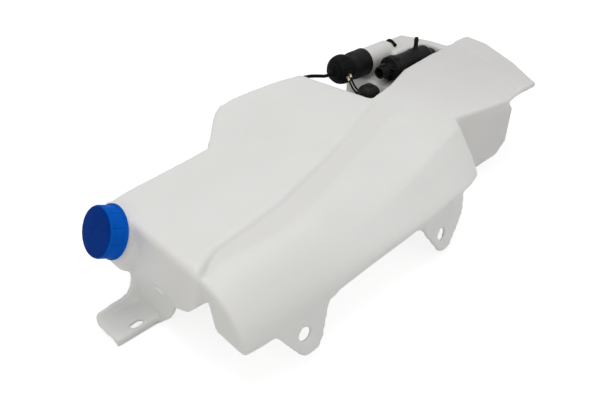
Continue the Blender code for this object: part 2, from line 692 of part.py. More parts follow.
def make_tank():
    tank = add("tank", plate_form(), white_plastic())
    seat, seat_place = seat_form()
    bodies = [helper("form_lobe", lobe_form()), helper("form_far", far_form()), helper("form_bay", bay_form()),
              helper("form_shelf", shelf_form()), helper("form_block", block_form()),
              helper("form_seat", seat, seat_place), helper("form_flange", flange_form()),
              helper("form_strip", strip_form()),
              helper("form_ear_1", ear_form(EAR_1), ear_matrix(EAR_1)),
              helper("form_ear_2", ear_form(EAR_2), ear_matrix(EAR_2)), helper("form_leg", leg_form()),
              helper("form_leg_plate", leg_plate_form())]
    rim = neck_matrix()
    neck = turned([(0, -NECK_ROOT), (COLLAR_ROOT_RADIUS, -COLLAR_FOOT), (COLLAR_RADIUS, -COLLAR_EDGE),
                   (COLLAR_RADIUS, -CAP_CLEARANCE), (NECK_RADIUS, -CAP_CLEARANCE), (NECK_RADIUS, NECK_LENGTH),
                   (0, NECK_LENGTH)], SIDES_LARGE)
    bodies.append(helper("form_neck", neck, rim))
    combine_all(tank, bodies, "UNION", "outside")
    weld = tank.modifiers.new("Weld_outside", "WELD")
    weld.merge_threshold = 0.00005

    seat, seat_place = seat_form(WALL)
    hollows = [helper("hollow_plate", plate_form(WALL)), helper("hollow_lobe", lobe_form(WALL)),
               helper("hollow_far", far_form(WALL)), helper("hollow_bay", bay_form(WALL)),
               helper("hollow_shelf", shelf_form(WALL)), helper("hollow_block", block_form(WALL)),
               helper("hollow_seat", seat, seat_place)]
    bore = turned([(0, -0.040), (NECK_BORE, -0.040), (NECK_BORE, 0.030), (0, 0.030)], SIDES_LARGE)
    hollows.append(helper("hollow_neck", bore, rim))
    for pump in (PUMP_1, PUMP_2):
        hole = turned([(0, -0.002), (GROMMET_HOLE, -0.002), (GROMMET_HOLE, WALL + 0.004), (0, WALL + 0.004)],
                      SIDES_SMALL)
        hollows.append(helper("hole_" + pump["name"], hole, nozzle_matrix(pump)))
    sensor_hole = turned([(0, -WALL - 0.004), (GROMMET_HOLE, -WALL - 0.004), (GROMMET_HOLE, 0.002), (0, 0.002)],
                         SIDES_SMALL)
    hollows.append(helper("hole_sensor", sensor_hole, facing((*SENSOR_AXIS, BAY_FLOOR_Z), (0, 0, 1))))
    vent_hole = turned([(0, -0.006), (VENT_RADIUS + GAP, -0.006), (VENT_RADIUS + GAP, 0.002), (0, 0.002)],
                       SIDES_SMALL)
    hollows.append(helper("hole_vent", vent_hole, facing((*VENT_FOOT, TOP_Z), (0, 0, 1))))
    for name, ear in (("hole_ear_1", EAR_1), ("hole_ear_2", EAR_2)):
        hole = turned([(0, -0.010), (EAR_HOLE_RADIUS, -0.010), (EAR_HOLE_RADIUS, 0.004), (0, 0.004)], 16)
        place = ear_matrix(ear, *ear["hole"]) @ Matrix.Rotation(math.pi / 2, 4, "X")
        hollows.append(helper(name, hole, place))
    hollows.append(helper("hole_slot", extruded(slot_outline(), "XY", -0.002, 0.014)))
    combine_all(tank, hollows, "DIFFERENCE", "inside")
    weld = tank.modifiers.new("Weld", "WELD")
    weld.merge_threshold = 0.00002


def make_cap():
    """The screw cap and its seal. Both have their origin on the axis of the neck."""
    rim = neck_matrix()
    bore = NECK_RADIUS + CAP_THREAD_GAP
    inner_top = CAP_HEIGHT - CAP_TOP
    bead = 0.0022
    profile = [(bore, 0.0), (CAP_RIM_RADIUS - 0.0008, 0.0), (CAP_RIM_RADIUS, 0.0008),
               (CAP_RIM_RADIUS, CAP_RIM_HEIGHT - 0.0008), (CAP_RIM_RADIUS - 0.0008, CAP_RIM_HEIGHT),
               (CAP_GRIP_RADIUS, CAP_RIM_HEIGHT + 0.0004), (CAP_GRIP_RADIUS, CAP_HEIGHT - bead),
               (CAP_GRIP_RADIUS - 0.3 * bead, CAP_HEIGHT - 0.3 * bead), (CAP_GRIP_RADIUS - bead, CAP_HEIGHT)]
    outer = profile + [(0, CAP_HEIGHT)]
    bm = turned([(0, inner_top), (bore, inner_top)] + outer, 40)
    for vert in bm.verts:
        flat = Vector((vert.co.x, vert.co.y))
        on_grip = flat.length > CAP_GRIP_RADIUS - 0.4 * bead and vert.co.z > CAP_RIM_HEIGHT + 0.0002
        if on_grip:
            wave = 0.5 - 0.5 * math.cos(CAP_PANELS * math.atan2(flat.y, flat.x))
            vert.co.x *= 1 - CAP_PANEL_DEPTH / CAP_GRIP_RADIUS * wave
            vert.co.y *= 1 - CAP_PANEL_DEPTH / CAP_GRIP_RADIUS * wave
    add("filler_cap", bm, blue_plastic(), rim, sharp=28)
    low = NECK_LENGTH + GAP
    seal = turned([(0, low), (bore - GAP, low), (bore - GAP, low + SEAL_THICKNESS), (0, low + SEAL_THICKNESS)],
                  SIDES_LARGE)
    add("cap_seal", seal, black_rubber(), rim)


def tube(outer, inner, low, high):
    """The profile of a ring or a tube."""
    return [(inner, low), (outer, low), (outer, high), (inner, high)]


def make_motor(pump, cover_end):
    """The motor of a pump: can, magnets, brushes and terminals, and the rotor that spins in them."""
    name = pump["name"]
    place = pump_matrix(pump)
    can_radius = pump["cover"] - COVER_WALL - GAP
    can_start = cover_end + GAP
    can_end = pump["head_start"] - GAP
    bore = can_radius - CAN_WALL
    bearing = SHAFT_RADIUS + GAP
    can = turned([(bore, can_start), (can_radius, can_start), (can_radius, can_end), (bearing, can_end),
                  (bearing, can_end - CAN_WALL), (bore, can_end - CAN_WALL)], SIDES_LARGE)
    add(name + "_motor_can", can, steel(), place)

    core_start = can_start + 0.0125
    core_end = can_end - 0.0045
    magnet_outer = bore - GAP
    magnet_inner = magnet_outer - MAGNET_THICKNESS
    for side in (0, 1):
        arc = turned(tube(magnet_outer, magnet_inner, core_start - 0.001, core_end + 0.001), 8, MAGNET_SPAN)
        bmesh.ops.rotate(arc, cent=(0, 0, 0), matrix=Matrix.Rotation(math.pi * side, 3, "Z"), verts=arc.verts)
        add(f"{name}_magnet_{side + 1}", arc, ferrite(), place)

    plate_low = can_start + 0.0010
    plate_high = plate_low + 0.0020
    plate = turned(tube(bore - GAP, bearing, plate_low, plate_high), 16)
    add(name + "_brush_plate", plate, black_plastic(), place)
    brush_low = plate_high + GAP
    brush_high = brush_low + 0.0042
    reach = COMMUTATOR_RADIUS + GAP + BRUSH_SIZE[0] / 2
    terminal_low = cover_end - COVER_END - pump["terminal"]
    terminal_high = plate_low - GAP
    for k, side in enumerate((-1, 1)):
        size = (*BRUSH_SIZE, brush_high - brush_low)
        brush = block(size, (side * reach, 0, (brush_low + brush_high) / 2))
        add(f"{name}_brush_{k + 1}", brush, carbon(), place)
        size = (*TERMINAL_SIZE, terminal_high - terminal_low)
        blade = block(size, (side * TERMINAL_OFFSET, 0, (terminal_high + terminal_low) / 2))
        add(f"{name}_terminal_{k + 1}", blade, brass(), place)

    impeller_low = pump["head_start"] + HEAD_WALL + 0.0010
    impeller_high = impeller_low + IMPELLER_HEIGHT
    shaft = turned([(0, plate_low), (SHAFT_RADIUS, plate_low), (SHAFT_RADIUS, impeller_high), (0, impeller_high)], 12)
    add(name + "_rotor_shaft", shaft, steel(), place)
    hub = SHAFT_RADIUS + GAP
    commutator = turned(tube(COMMUTATOR_RADIUS, hub, brush_low + 0.0003, core_start - 0.0012), 16)
    add(name + "_commutator", commutator, copper(), place)
    core = add(name + "_rotor_core", extruded(core_outline(magnet_inner - AIR_GAP), "XY", core_start, core_end),
               steel(), place)
    core_bore = turned([(0, core_start - 0.001), (hub, core_start - 0.001), (hub, core_end + 0.001),
                        (0, core_end + 0.001)], 12)
    combine(core, [helper("cut_" + name + "_core", core_bore, place)], "DIFFERENCE")

    chamber = pump["head"] - HEAD_WALL
    wheel = add(name + "_impeller", extruded(vane_outline(chamber - 0.0012), "XY", impeller_low, impeller_high),
                white_plastic(), place)
    wheel_bore = turned([(0, impeller_low - 0.001), (hub, impeller_low - 0.001), (hub, impeller_high + 0.001),
                         (0, impeller_high + 0.001)], 12)
    combine(wheel, [helper("cut_" + name + "_impeller", wheel_bore, place)], "DIFFERENCE")


def core_outline(radius):
    """The rotor core seen along its axis: poles with wide shoes on narrow stems."""
    points = []
    pole = math.tau / CORE_POLES
    for k in range(CORE_POLES):
        for part, reach in ((-0.42, 0.97), (-0.20, 1.0), (0.20, 1.0), (0.42, 0.97), (0.36, 0.80), (0.16, 0.72),
                            (0.30, 0.42), (0.70, 0.42), (0.84, 0.72), (0.64, 0.80)):
            angle = pole * (k + part)
            points.append((radius * reach * math.cos(angle), radius * reach * math.sin(angle)))
    return points


def vane_outline(radius):
    """The impeller seen along its axis: straight vanes round a hub."""
    points = []
    hub = 0.0036
    half = 0.0006
    for k in range(IMPELLER_VANES):
        out = Vector((math.cos(math.tau * k / IMPELLER_VANES), math.sin(math.tau * k / IMPELLER_VANES)))
        side = Vector((-out.y, out.x))
        for distance, offset in ((hub, -half), (radius, -half), (radius, half), (hub, half)):
            points.append(tuple(out * distance + side * offset))
    return points


def circle(radius, drop, height):
    """A ring of points about the pump's axis, or that far below it."""
    steps = [math.tau * k / SIDES_LARGE for k in range(SIDES_LARGE)]
    return [(radius * math.cos(a), radius * math.sin(a) - drop, height) for a in steps]


def make_pump_end(pump):
    """The wet end of a pump: head with its spigot, shaft seal, inlet cover, grommet and strainer."""
    name = pump["name"]
    place = pump_matrix(pump)
    low = pump["head_start"]
    high = pump["head_end"]
    radius = pump["head"]
    chamber = radius - HEAD_WALL
    profile = [(SEAL_RADIUS, low), (radius - 0.0006, low), (radius, low + 0.0006), (radius, high), (chamber, high),
               (chamber, low + HEAD_WALL), (SEAL_RADIUS, low + HEAD_WALL)]
    head = add(name + "_head", turned(profile, SIDES_LARGE), black_plastic(), place)
    out = Vector(pump["spigot"])
    foot = Vector((pump["seat_x"] + low + SPIGOT_PLACE, pump["y"], pump["z"]))
    start = chamber + 0.0004
    reach = radius + SPIGOT_LENGTH
    bead = SPIGOT_RADIUS + 0.0005
    spigot = turned([(0, start), (SPIGOT_RADIUS, start), (SPIGOT_RADIUS, reach - 0.004), (bead, reach - 0.0035),
                     (SPIGOT_RADIUS - 0.0005, reach), (0, reach)], SIDES_SMALL)
    channel = turned([(0, start - 0.003), (SPIGOT_BORE, start - 0.003), (SPIGOT_BORE, reach + 0.002),
                      (0, reach + 0.002)], SIDES_SMALL)
    combine(head, [helper("form_" + name + "_spigot", spigot, facing(foot, out))], "UNION")
    combine(head, [helper("cut_" + name + "_spigot", channel, facing(foot, out))], "DIFFERENCE")

    ring = turned(tube(SEAL_RADIUS - GAP, SHAFT_RADIUS + GAP, low + 0.0002, low + HEAD_WALL), 12)
    add(name + "_shaft_seal", ring, black_rubber(), place)

    mouth = chamber - GAP
    drop = pump["nozzle_drop"]
    shoulder = high
    rings = [circle(mouth, 0.0, high - 0.003), circle(mouth, 0.0, high)]
    if high < -CONE_END:
        shoulder = -CONE_END + 0.0015
        rings += [circle(mouth + 0.0008, 0.0, high + GAP), circle(mouth + 0.0008, 0.0, high + 0.0025),
                  circle(NOZZLE_RADIUS + 0.0035, drop, -CONE_END)]
    rings += [circle(NOZZLE_RADIUS, drop, shoulder), circle(NOZZLE_RADIUS, drop, NOZZLE_REACH)]
    cover = add(name + "_inlet_cover", loft(rings), black_plastic(), place)
    place = nozzle_matrix(pump)
    bore = turned([(0, high - 0.006), (NOZZLE_BORE, high - 0.006), (NOZZLE_BORE, NOZZLE_REACH + 0.002),
                   (0, NOZZLE_REACH + 0.002)], SIDES_SMALL)
    combine(cover, [helper("cut_" + name + "_nozzle", bore, place)], "DIFFERENCE")

    inner = NOZZLE_RADIUS + GAP
    body = GROMMET_HOLE - GAP
    outside = -GAP
    inside = WALL + GAP
    edge = GROMMET_HOLE + GROMMET_FLANGE
    profile = [(inner, outside - 0.0009), (edge, outside - 0.0009), (edge, outside), (body, outside), (body, inside),
               (edge, inside), (edge - 0.0008, inside + GROMMET_LIP), (inner, inside + GROMMET_LIP)]
    add(name + "_grommet", turned(profile, 16), black_rubber(), place)

    start = inside + GROMMET_LIP + GAP
    end = start + STRAINER_LENGTH
    profile = [(inner, start), (STRAINER_RADIUS, start), (STRAINER_RADIUS, end), (0, end), (0, end - 0.0010),
               (STRAINER_RADIUS - 0.0012, end - 0.0010), (STRAINER_RADIUS - 0.0012, start + 0.0018),
               (inner, start + 0.0018)]
    strainer = add(name + "_strainer", turned(profile, 16), white_plastic(), place)
    slots = []
    for k in range(3):
        bar = block((0.0320, 0.0016, STRAINER_LENGTH - 0.0052), (0, 0, (start + end) / 2 + 0.0004))
        bmesh.ops.rotate(bar, cent=(0, 0, 0), matrix=Matrix.Rotation(math.pi * (k + 0.5) / 3, 3, "Z"), verts=bar.verts)
        slots.append(helper(f"cut_{name}_slot_{k + 1}", bar, place))
    combine(strainer, slots, "DIFFERENCE")


def make_pump_1():
    pump = PUMP_1
    place = pump_matrix(pump)
    radius = pump["cover"]
    low = pump["cover_start"]
    inner = radius - COVER_WALL
    cover_end = low + COVER_END
    edge = pump["head_start"] - GAP
    profile = [(0, low), (radius - 0.001, low), (radius, low + 0.001), (radius, edge), (inner, edge),
               (inner, cover_end), (0, cover_end)]
    cover = add("pump_1_motor_cover", turned(profile, SIDES_LARGE), black_plastic(), place)
    cut_terminals(cover, "pump_1", place, low, cover_end)
    make_motor(pump, cover_end)
    make_pump_end(pump)
    hug = radius + GAP
    profile = [(hug, BOOT_REACH), (hug, low - GAP), (0.0070, low - GAP), (0.0070, low - 0.0062), (0, low - 0.0062),
               (0, BOOT_END), (0.0085, BOOT_END), (0.0110, BOOT_END + 0.0015), (0.0112, BOOT_END + 0.0040),
               (0.0140, BOOT_END + 0.0060), (0.0172, BOOT_END + 0.0120), (BOOT_RADIUS, BOOT_REACH - 0.0080),
               (BOOT_RADIUS, BOOT_REACH - 0.0045), (BOOT_RADIUS + 0.0004, BOOT_REACH - 0.0040),
               (BOOT_RADIUS + 0.0004, BOOT_REACH)]
    add("pump_1_boot", turned(profile, SIDES_LARGE), black_rubber(), place)


def make_pump_2():
    pump = PUMP_2
    place = pump_matrix(pump)
    radius = pump["cover"]
    collar_end = pump["cover_start"] + COLLAR_2_LENGTH
    low = pump["cover_start"] - SOCKET_LENGTH
    inner = radius - COVER_WALL
    socket = SOCKET_RADIUS - SOCKET_WALL
    cover_end = pump["cover_start"] + COVER_END
    edge = pump["head_start"] - GAP
    profile = [(0, pump["cover_start"]), (socket, pump["cover_start"]), (socket, low), (SOCKET_RADIUS, low),
               (SOCKET_RADIUS, pump["cover_start"] - 0.0015), (COLLAR_2_RADIUS - 0.0012, pump["cover_start"] - 0.0015),
               (COLLAR_2_RADIUS, pump["cover_start"]), (COLLAR_2_RADIUS, collar_end - 0.001),
               (radius + 0.001, collar_end), (radius, collar_end + 0.002), (radius, edge), (inner, edge),
               (inner, cover_end), (0, cover_end)]
    cover = add("pump_2_motor_cover", turned(profile, SIDES_LARGE), black_plastic(), place)
    cut_terminals(cover, "pump_2", place, pump["cover_start"], cover_end)
    make_motor(pump, cover_end)
    make_pump_end(pump)


def cut_terminals(cover, name, place, low, high):
    """The two slots through which the terminals leave the cover."""
    cuts = []
    for side in (-1, 1):
        size = (TERMINAL_SIZE[0] + 2 * GAP, TERMINAL_SIZE[1] + 2 * GAP, high - low + 0.002)
        slot = block(size, (side * TERMINAL_OFFSET, 0, (low + high) / 2))
        cuts.append(helper(f"cut_{name}_terminal_{side + 2}", slot, place))
    combine(cover, cuts, "DIFFERENCE")


def make_sensor():
    """The level sensor: head, grommet, stem with its reed switch, and a float on a pin."""
    x, y = SENSOR_AXIS
    place = facing((x, y, 0), (0, 0, 1))
    foot = BAY_FLOOR_Z + 0.0014
    dome = [(SENSOR_RADIUS * math.cos(a), SENSOR_TOP_Z - 0.0095 + 0.0095 * math.sin(a))
            for a in (math.radians(d) for d in (0, 25, 50, 70, 90))]
    dome[-1] = (0, SENSOR_TOP_Z)
    plug = GROMMET_HOLE - 0.0020
    reach = BAY_FLOOR_Z - WALL - 0.0040
    core = STEM_RADIUS + GAP
    profile = [(0, foot + 0.006), (core, foot + 0.006), (core, reach), (plug, reach), (plug, foot + GAP),
               (SENSOR_RADIUS - 0.003, foot + GAP), (SENSOR_RADIUS - 0.001, foot + 0.003),
               (SENSOR_RADIUS - 0.001, SENSOR_TOP_Z - 0.018), (SENSOR_RADIUS, SENSOR_TOP_Z - 0.016)]
    add("sensor_head", turned(profile + dome, SIDES_LARGE), black_plastic(), place)
    inner = plug + GAP
    edge = GROMMET_HOLE + GROMMET_FLANGE
    body = GROMMET_HOLE - GAP
    top = BAY_FLOOR_Z
    profile = [(inner, top + 0.0013), (inner, top - WALL - 0.0022), (edge - 0.001, top - WALL - 0.0022),
               (edge, top - WALL - GAP), (body, top - WALL - GAP), (body, top + GAP), (edge, top + GAP),
               (edge, top + 0.0013)]
    add("sensor_grommet", turned(profile, 16), black_rubber(), place)

    stem_top = foot + 0.006 - GAP
    bore = REED_RADIUS + GAP
    capsule_low = STEM_END_Z + 0.0015
    profile = [(0, STEM_END_Z), (STEM_RADIUS, STEM_END_Z), (STEM_RADIUS, stem_top), (bore, stem_top),
               (bore, capsule_low - GAP), (0, capsule_low - GAP)]
    stem = add("sensor_stem", turned(profile, SIDES_SMALL), black_plastic(), place)
    inside = FLOAT_WIDTH / 2 + FLOAT_PLAY
    fork_top = STEM_END_Z + 0.0012
    outer = inside + FORK_WALL
    fork_low = FLOAT_PIVOT_Z - 0.0030
    fork = block((0.0064, 2 * outer, fork_top - fork_low), (x, y, (fork_top + fork_low) / 2))
    gap = block((0.0200, 2 * inside, STEM_END_Z - fork_low + 0.010), (x, y, (STEM_END_Z + fork_low - 0.010) / 2))
    combine(stem, [helper("form_fork", fork)], "UNION")
    pivot = facing((x, y, FLOAT_PIVOT_Z), (0, 1, 0))
    hole = turned([(0, -2 * outer), (PIN_RADIUS + GAP, -2 * outer), (PIN_RADIUS + GAP, 2 * outer), (0, 2 * outer)], 12)
    pin_hole = helper("cut_pin", hole, pivot)
    combine(stem, [helper("cut_fork", gap), pin_hole], "DIFFERENCE")
    pin = turned([(0, -outer), (PIN_RADIUS, -outer), (PIN_RADIUS, outer), (0, outer)], 12)
    add("sensor_pin", pin, steel(), pivot)
    half = REED_LENGTH / 2
    middle = capsule_low + half
    end = REED_RADIUS * 0.6
    capsule = [(0, middle - half), (end, middle - half), (REED_RADIUS, middle - half + end),
               (REED_RADIUS, middle + half - end), (end, middle + half), (0, middle + half)]
    add("reed_switch", turned(capsule, 10), glass(), place)

    low = -FLOAT_LENGTH
    outline = rounded([(-0.0036, 0.0036, 0.0034), (0.0036, 0.0036, 0.0034), (0.0055, low, 0.0020),
                       (-0.0055, low, 0.0020)], 0.0, 4)
    swing = Matrix.Translation((x, y, FLOAT_PIVOT_Z))
    body = add("sensor_float", extruded(outline, "XZ", -FLOAT_WIDTH / 2, FLOAT_WIDTH / 2), white_plastic(), swing)
    pocket = turned([(0, low - 0.001), (MAGNET_RADIUS + GAP, low - 0.001), (MAGNET_RADIUS + GAP, low + 0.0086),
                     (0, low + 0.0086)], 12)
    combine(body, [pin_hole, helper("cut_float_magnet", pocket, swing)], "DIFFERENCE")
    rod = turned([(0, low + 0.0022), (MAGNET_RADIUS, low + 0.0022), (MAGNET_RADIUS, low + 0.0083),
                  (0, low + 0.0083)], 12)
    add("float_magnet", rod, ferrite(), swing)


def smooth_route(points, spacing):
    """Points every so far along a smooth curve through the route."""
    fine = []
    for i in range(len(points) - 1):
        a = Vector(points[max(0, i - 1)])
        b = Vector(points[i])
        c = Vector(points[i + 1])
        d = Vector(points[min(len(points) - 1, i + 2)])
        for k in range(12):
            t = k / 12
            fine.append(0.5 * (2 * b + (c - a) * t + (2 * a - 5 * b + 4 * c - d) * t ** 2
                               + (3 * b - a - 3 * c + d) * t ** 3))
    fine.append(Vector(points[-1]))
    kept = [fine[0]]
    run = 0.0
    for before, here in zip(fine, fine[1:]):
        run += (here - before).length
        if run >= spacing:
            kept.append(here)
            run = 0.0
    if (kept[-1] - fine[-1]).length < spacing / 2:
        kept.pop()
    return kept + [fine[-1]]


def cord(name, points, radius, finish):
    curve = bpy.data.curves.new(name, "CURVE")
    curve.dimensions = "3D"
    curve.bevel_depth = radius
    curve.bevel_resolution = 2
    curve.use_fill_caps = True
    line = curve.splines.new("POLY")
    line.points.add(len(points) - 1)
    for slot, point in zip(line.points, points):
        slot.co = (*point, 1.0)
    curve.materials.append(finish)
    obj = bpy.data.objects.new(name, curve)
    bpy.context.scene.collection.objects.link(obj)
    return obj


def sweep(points, radius, sides):
    """A round rod along the points."""
    rings = []
    turn = None
    for i, point in enumerate(points):
        ahead = Vector(points[min(i + 1, len(points) - 1)]) - Vector(points[max(i - 1, 0)])
        if turn is None:
            turn = ahead.to_track_quat("Z", "Y")
        else:
            turn = (turn @ Vector((0, 0, 1))).rotation_difference(ahead) @ turn
        steps = [math.tau * k / sides for k in range(sides)]
        ring = [Vector((radius * math.cos(a), radius * math.sin(a), 0)) for a in steps]
        rings.append([Vector(point) + turn @ arm for arm in ring])
    return loft(rings)


def make_leads():
    """The cable out to the vehicle with its plug, and the two leads to the level sensor."""
    cord("harness_cable", smooth_route(CABLE_ROUTE, 5 * CABLE_RADIUS), CABLE_RADIUS, black_rubber())
    cord("sensor_lead_a", smooth_route(LEAD_ROUTE_A, 5 * LEAD_RADIUS), LEAD_RADIUS, black_rubber())
    cord("sensor_lead_b", smooth_route(LEAD_ROUTE_B, 5 * LEAD_RADIUS), LEAD_RADIUS, black_rubber())
    end = Vector(CABLE_ROUTE[-1])
    length, width, height = PLUG_SIZE
    centre = Vector((end.x - GAP - length / 2, end.y, height / 2 + PLUG_CLEARANCE))
    plug = add("harness_plug", block(PLUG_SIZE, centre), black_plastic())
    bevel = plug.modifiers.new("Edges", "BEVEL")
    bevel.width = 0.0012
    bevel.segments = 2
    inner = (0.012, width - 0.0036, height - 0.0036)
    mouth = helper("cut_plug", block(inner, centre - Vector((length / 2, 0, 0))))
    combine(plug, [mouth], "DIFFERENCE")


def make_vent():
    """The vent tube, plugged into the top of the block and bent over to the front."""
    foot = Vector((*VENT_FOOT, TOP_Z))
    points = [foot + Vector(p) for p in VENT_ROUTE]
    vent = add("vent_elbow", sweep(points, VENT_RADIUS, SIDES_SMALL), black_rubber())
    ends = [points[0] - Vector((0, 0, 0.002))] + points[1:-1] + [points[-1] + (points[-1] - points[-2]) * 0.5]
    combine(vent, [helper("cut_vent", sweep(ends, VENT_RADIUS * 0.5, 8))], "DIFFERENCE")


def main():
    clear_scene()
    make_tank()
    make_cap()
    make_pump_1()
    make_pump_2()
    make_sensor()
    make_leads()
    make_vent()


main()
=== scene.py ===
"""Washer fluid reservoir: the finishes, the soft moulded skin of the tank and the detail round its solids."""

import json
import math

import bmesh
import bpy
from mathutils import Matrix, Vector


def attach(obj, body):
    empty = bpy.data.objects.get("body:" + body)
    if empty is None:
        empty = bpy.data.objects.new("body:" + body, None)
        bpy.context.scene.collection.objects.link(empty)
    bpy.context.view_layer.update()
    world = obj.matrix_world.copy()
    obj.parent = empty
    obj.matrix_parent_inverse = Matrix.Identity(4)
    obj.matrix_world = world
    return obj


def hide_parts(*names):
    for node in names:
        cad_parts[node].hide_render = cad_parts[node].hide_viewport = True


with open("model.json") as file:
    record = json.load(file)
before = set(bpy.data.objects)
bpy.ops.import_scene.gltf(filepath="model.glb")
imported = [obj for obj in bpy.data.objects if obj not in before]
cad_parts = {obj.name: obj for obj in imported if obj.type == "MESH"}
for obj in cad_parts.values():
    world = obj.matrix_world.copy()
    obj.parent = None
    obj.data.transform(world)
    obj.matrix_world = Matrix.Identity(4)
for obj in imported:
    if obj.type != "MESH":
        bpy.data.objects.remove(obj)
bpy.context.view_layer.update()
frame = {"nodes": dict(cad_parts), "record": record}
nodes = frame["nodes"]

# Places and sizes, in metres
GAP = 0.0003
TOP_Z = 0.107
NECK_CENTRE = Vector((-0.3134, 0.0305, 0.0898))
NECK_AXIS = Vector((-math.cos(math.radians(27.5)), 0, math.sin(math.radians(27.5))))
NECK_RADIUS = 0.0232
NECK_BORE = 0.0200
NECK_LENGTH = 0.0125
NECK_DEPTH = 0.050
THREAD_PITCH = 0.005
THREAD_STEPS = 48
CAP_BORE = 0.0242
CAP_GRIP = 0.0262
CAP_RIM = 0.0280
CAP_HEIGHT = 0.0185
CAP_PANELS = 10
PUMP_1_SEAT = Vector((0.172, 0.133, 0.098))
PUMP_2_SEAT = Vector((0.290, 0.087, 0.098))
NOZZLE_DROP = 0.0060
BOOT_SHIFT = Vector((0, 0.0006, 0.0014))
SENSOR_AXIS = Vector((0.119, 0.071, 0.0))
SENSOR_RADIUS = 0.0158
SENSOR_TOP_Z = 0.0980
BAY_FLOOR_Z = 0.048
VENT_FOOT = Vector((0.249, 0.145, TOP_Z))
EAR_Y = -0.1566
EAR_TOP_Z = 0.055
EAR_TILT = math.radians(13)
EAR_HOLE_RADIUS = 0.0072
EAR_HOLES = ((-0.2670, 0.0, 0.0317, 0.0205), (-0.0526, math.radians(5.5), 0.0360, 0.0250))
CUTTER_REACH = 0.02
SLOT_REACH = 0.015
GROMMET_HOLE = 0.0095
VENT_HOLE = 0.0040
SLOT_CENTRE = Vector((-0.330, -0.0165, 0.0))
SLOT_LENGTH = 0.0090
SLOT_WIDTH = 0.0046
NEAR_LEDGE = Vector((-0.3088, -0.0386, 0.0545))
NEAR_LEDGE_SIZE = (0.0040, 0.0125, 0.0026)

# Routes and thickness of the cable, the two leads and the vent tube
CABLE_RADIUS = 0.0025
CABLE_ROUTE = [(0.1037, 0.1330, 0.0985), (0.0980, 0.1330, 0.0985), (0.0910, 0.1340, 0.0992),
               (0.0800, 0.1400, 0.1010), (0.0700, 0.1490, 0.1000), (0.0600, 0.1590, 0.0940),
               (0.0500, 0.1660, 0.0800), (0.0400, 0.1700, 0.0580), (0.0280, 0.1720, 0.0340),
               (0.0100, 0.1735, 0.0130), (-0.0160, 0.1735, 0.0040), (-0.0450, 0.1730, 0.0030),
               (-0.0750, 0.1720, 0.0048), (-0.0800, 0.1720, 0.0048)]
PLUG_SIZE = Vector((0.024, 0.013, 0.009))
LEAD_RADIUS = 0.0013
LEAD_ROUTE_A = [(0.1215, 0.1136, 0.0975), (0.1195, 0.1085, 0.1008), (0.1140, 0.1015, 0.1002),
                (0.1120, 0.0955, 0.0942), (0.1120, 0.0893, 0.0884), (0.1120, 0.0845, 0.0862)]
LEAD_ROUTE_B = [(0.1183, 0.1146, 0.0945), (0.1165, 0.1095, 0.0972), (0.1112, 0.1020, 0.0955),
                (0.1092, 0.0955, 0.0900), (0.1090, 0.0893, 0.0848), (0.1095, 0.0850, 0.0830)]
VENT_RADIUS = 0.0024
VENT_ROUTE = [(0.0, 0.0, -0.0030), (0.0, 0.0, 0.0008), (-0.0003, -0.0014, 0.0032), (-0.0016, -0.0056, 0.0050),
              (-0.0042, -0.0130, 0.0050), (-0.0080, -0.0215, 0.0032)]

# Guide lines of the tank seen from above, with the fuller back edge that the skin has
CREASE_UPPER = [(-0.309, -0.097), (-0.266, -0.079), (-0.227, -0.074), (-0.170, -0.064), (-0.095, -0.042),
                (-0.028, -0.020), (0.030, 0.006), (0.107, 0.032)]
CREASE_LOWER = [(-0.309, -0.097), (-0.262, -0.096), (-0.226, -0.099), (-0.190, -0.097), (-0.144, -0.088),
                (-0.097, -0.073), (-0.042, -0.056), (0.024, -0.034), (0.107, -0.010)]
BACK_EDGE = [(-0.309, 0.048), (-0.299, 0.050), (-0.172, 0.067), (-0.155, 0.075), (-0.100, 0.136),
             (-0.082, 0.143), (0.049, 0.155), (0.107, 0.160)]
FULL_BACK_EDGE = [(-0.309, 0.0595), (-0.299, 0.0615), (-0.225, 0.0700), (-0.186, 0.0742), (-0.167, 0.0768),
                  (-0.158, 0.0825), (-0.101, 0.1435), (-0.084, 0.1545), (-0.060, 0.1595), (-0.030, 0.1610),
                  (0.020, 0.1600), (0.049, 0.1555), (0.107, 0.160)]
FLANGE_EDGE = [(-0.098, 0.270), (-0.083, 0.280), (-0.039, 0.313), (0.032, 0.353), (0.071, 0.365)]

# The far side and front of the box, the corner of the lobe and the lowest point of the skin
BOX_X = 0.202
BOX_Y = -0.103
BOX_CORNER = Vector((BOX_X, BOX_Y))
LOBE_CORNER = Vector((0.090, -0.145))
LOWEST_Z = 0.0001

# The thin parts of the tank, which keep their thickness
EAR_ROOT_Y = -0.1500
EAR_ROOT_Z = 0.053
NEAR_WALL_X = -0.3085
FLANGE_LOW_Z = 0.0990
FLANGE_NEAR_X = 0.245
FLANGE_BACK_Y = 0.0716
FLANGE_ACROSS = (0.8480, -0.5300)
FLANGE_ROOM = 0.004
BLOCK_TOP_Z = 0.1080
BLOCK_FAR_X = 0.300

# The fuller back: how far in it starts by the neck and elsewhere, and where it fades out
NECK_REACH = 0.014
BACK_REACH = 0.060
BACK_FADE = (-0.309, -0.300)
REACH_GROWS = (-0.298, -0.262)
BAY_X = 0.107

# The band between the two creases on top, with the ridge on its upper side and the slope on its lower side
BAND_STEP = 0.0036
BAND_LESS_FAR = 0.55
BAND_FOOT_Z = 0.088
BAND_STARTS = (-0.300, -0.270)
BAND_ENDS = (0.070, 0.105)
BAND_FALLS = (-0.150, 0.107)
UPPER_STEP = (-0.001, 0.005)
UPPER_REACH = 0.006
RIDGE_RISE = 0.0006
RIDGE_MIDDLE = 0.007
RIDGE_HALF = 0.009
SLOPE_REACH = 0.045
SLOPE_TOP_Z = 0.100
SLOPE_RISE = 0.0066

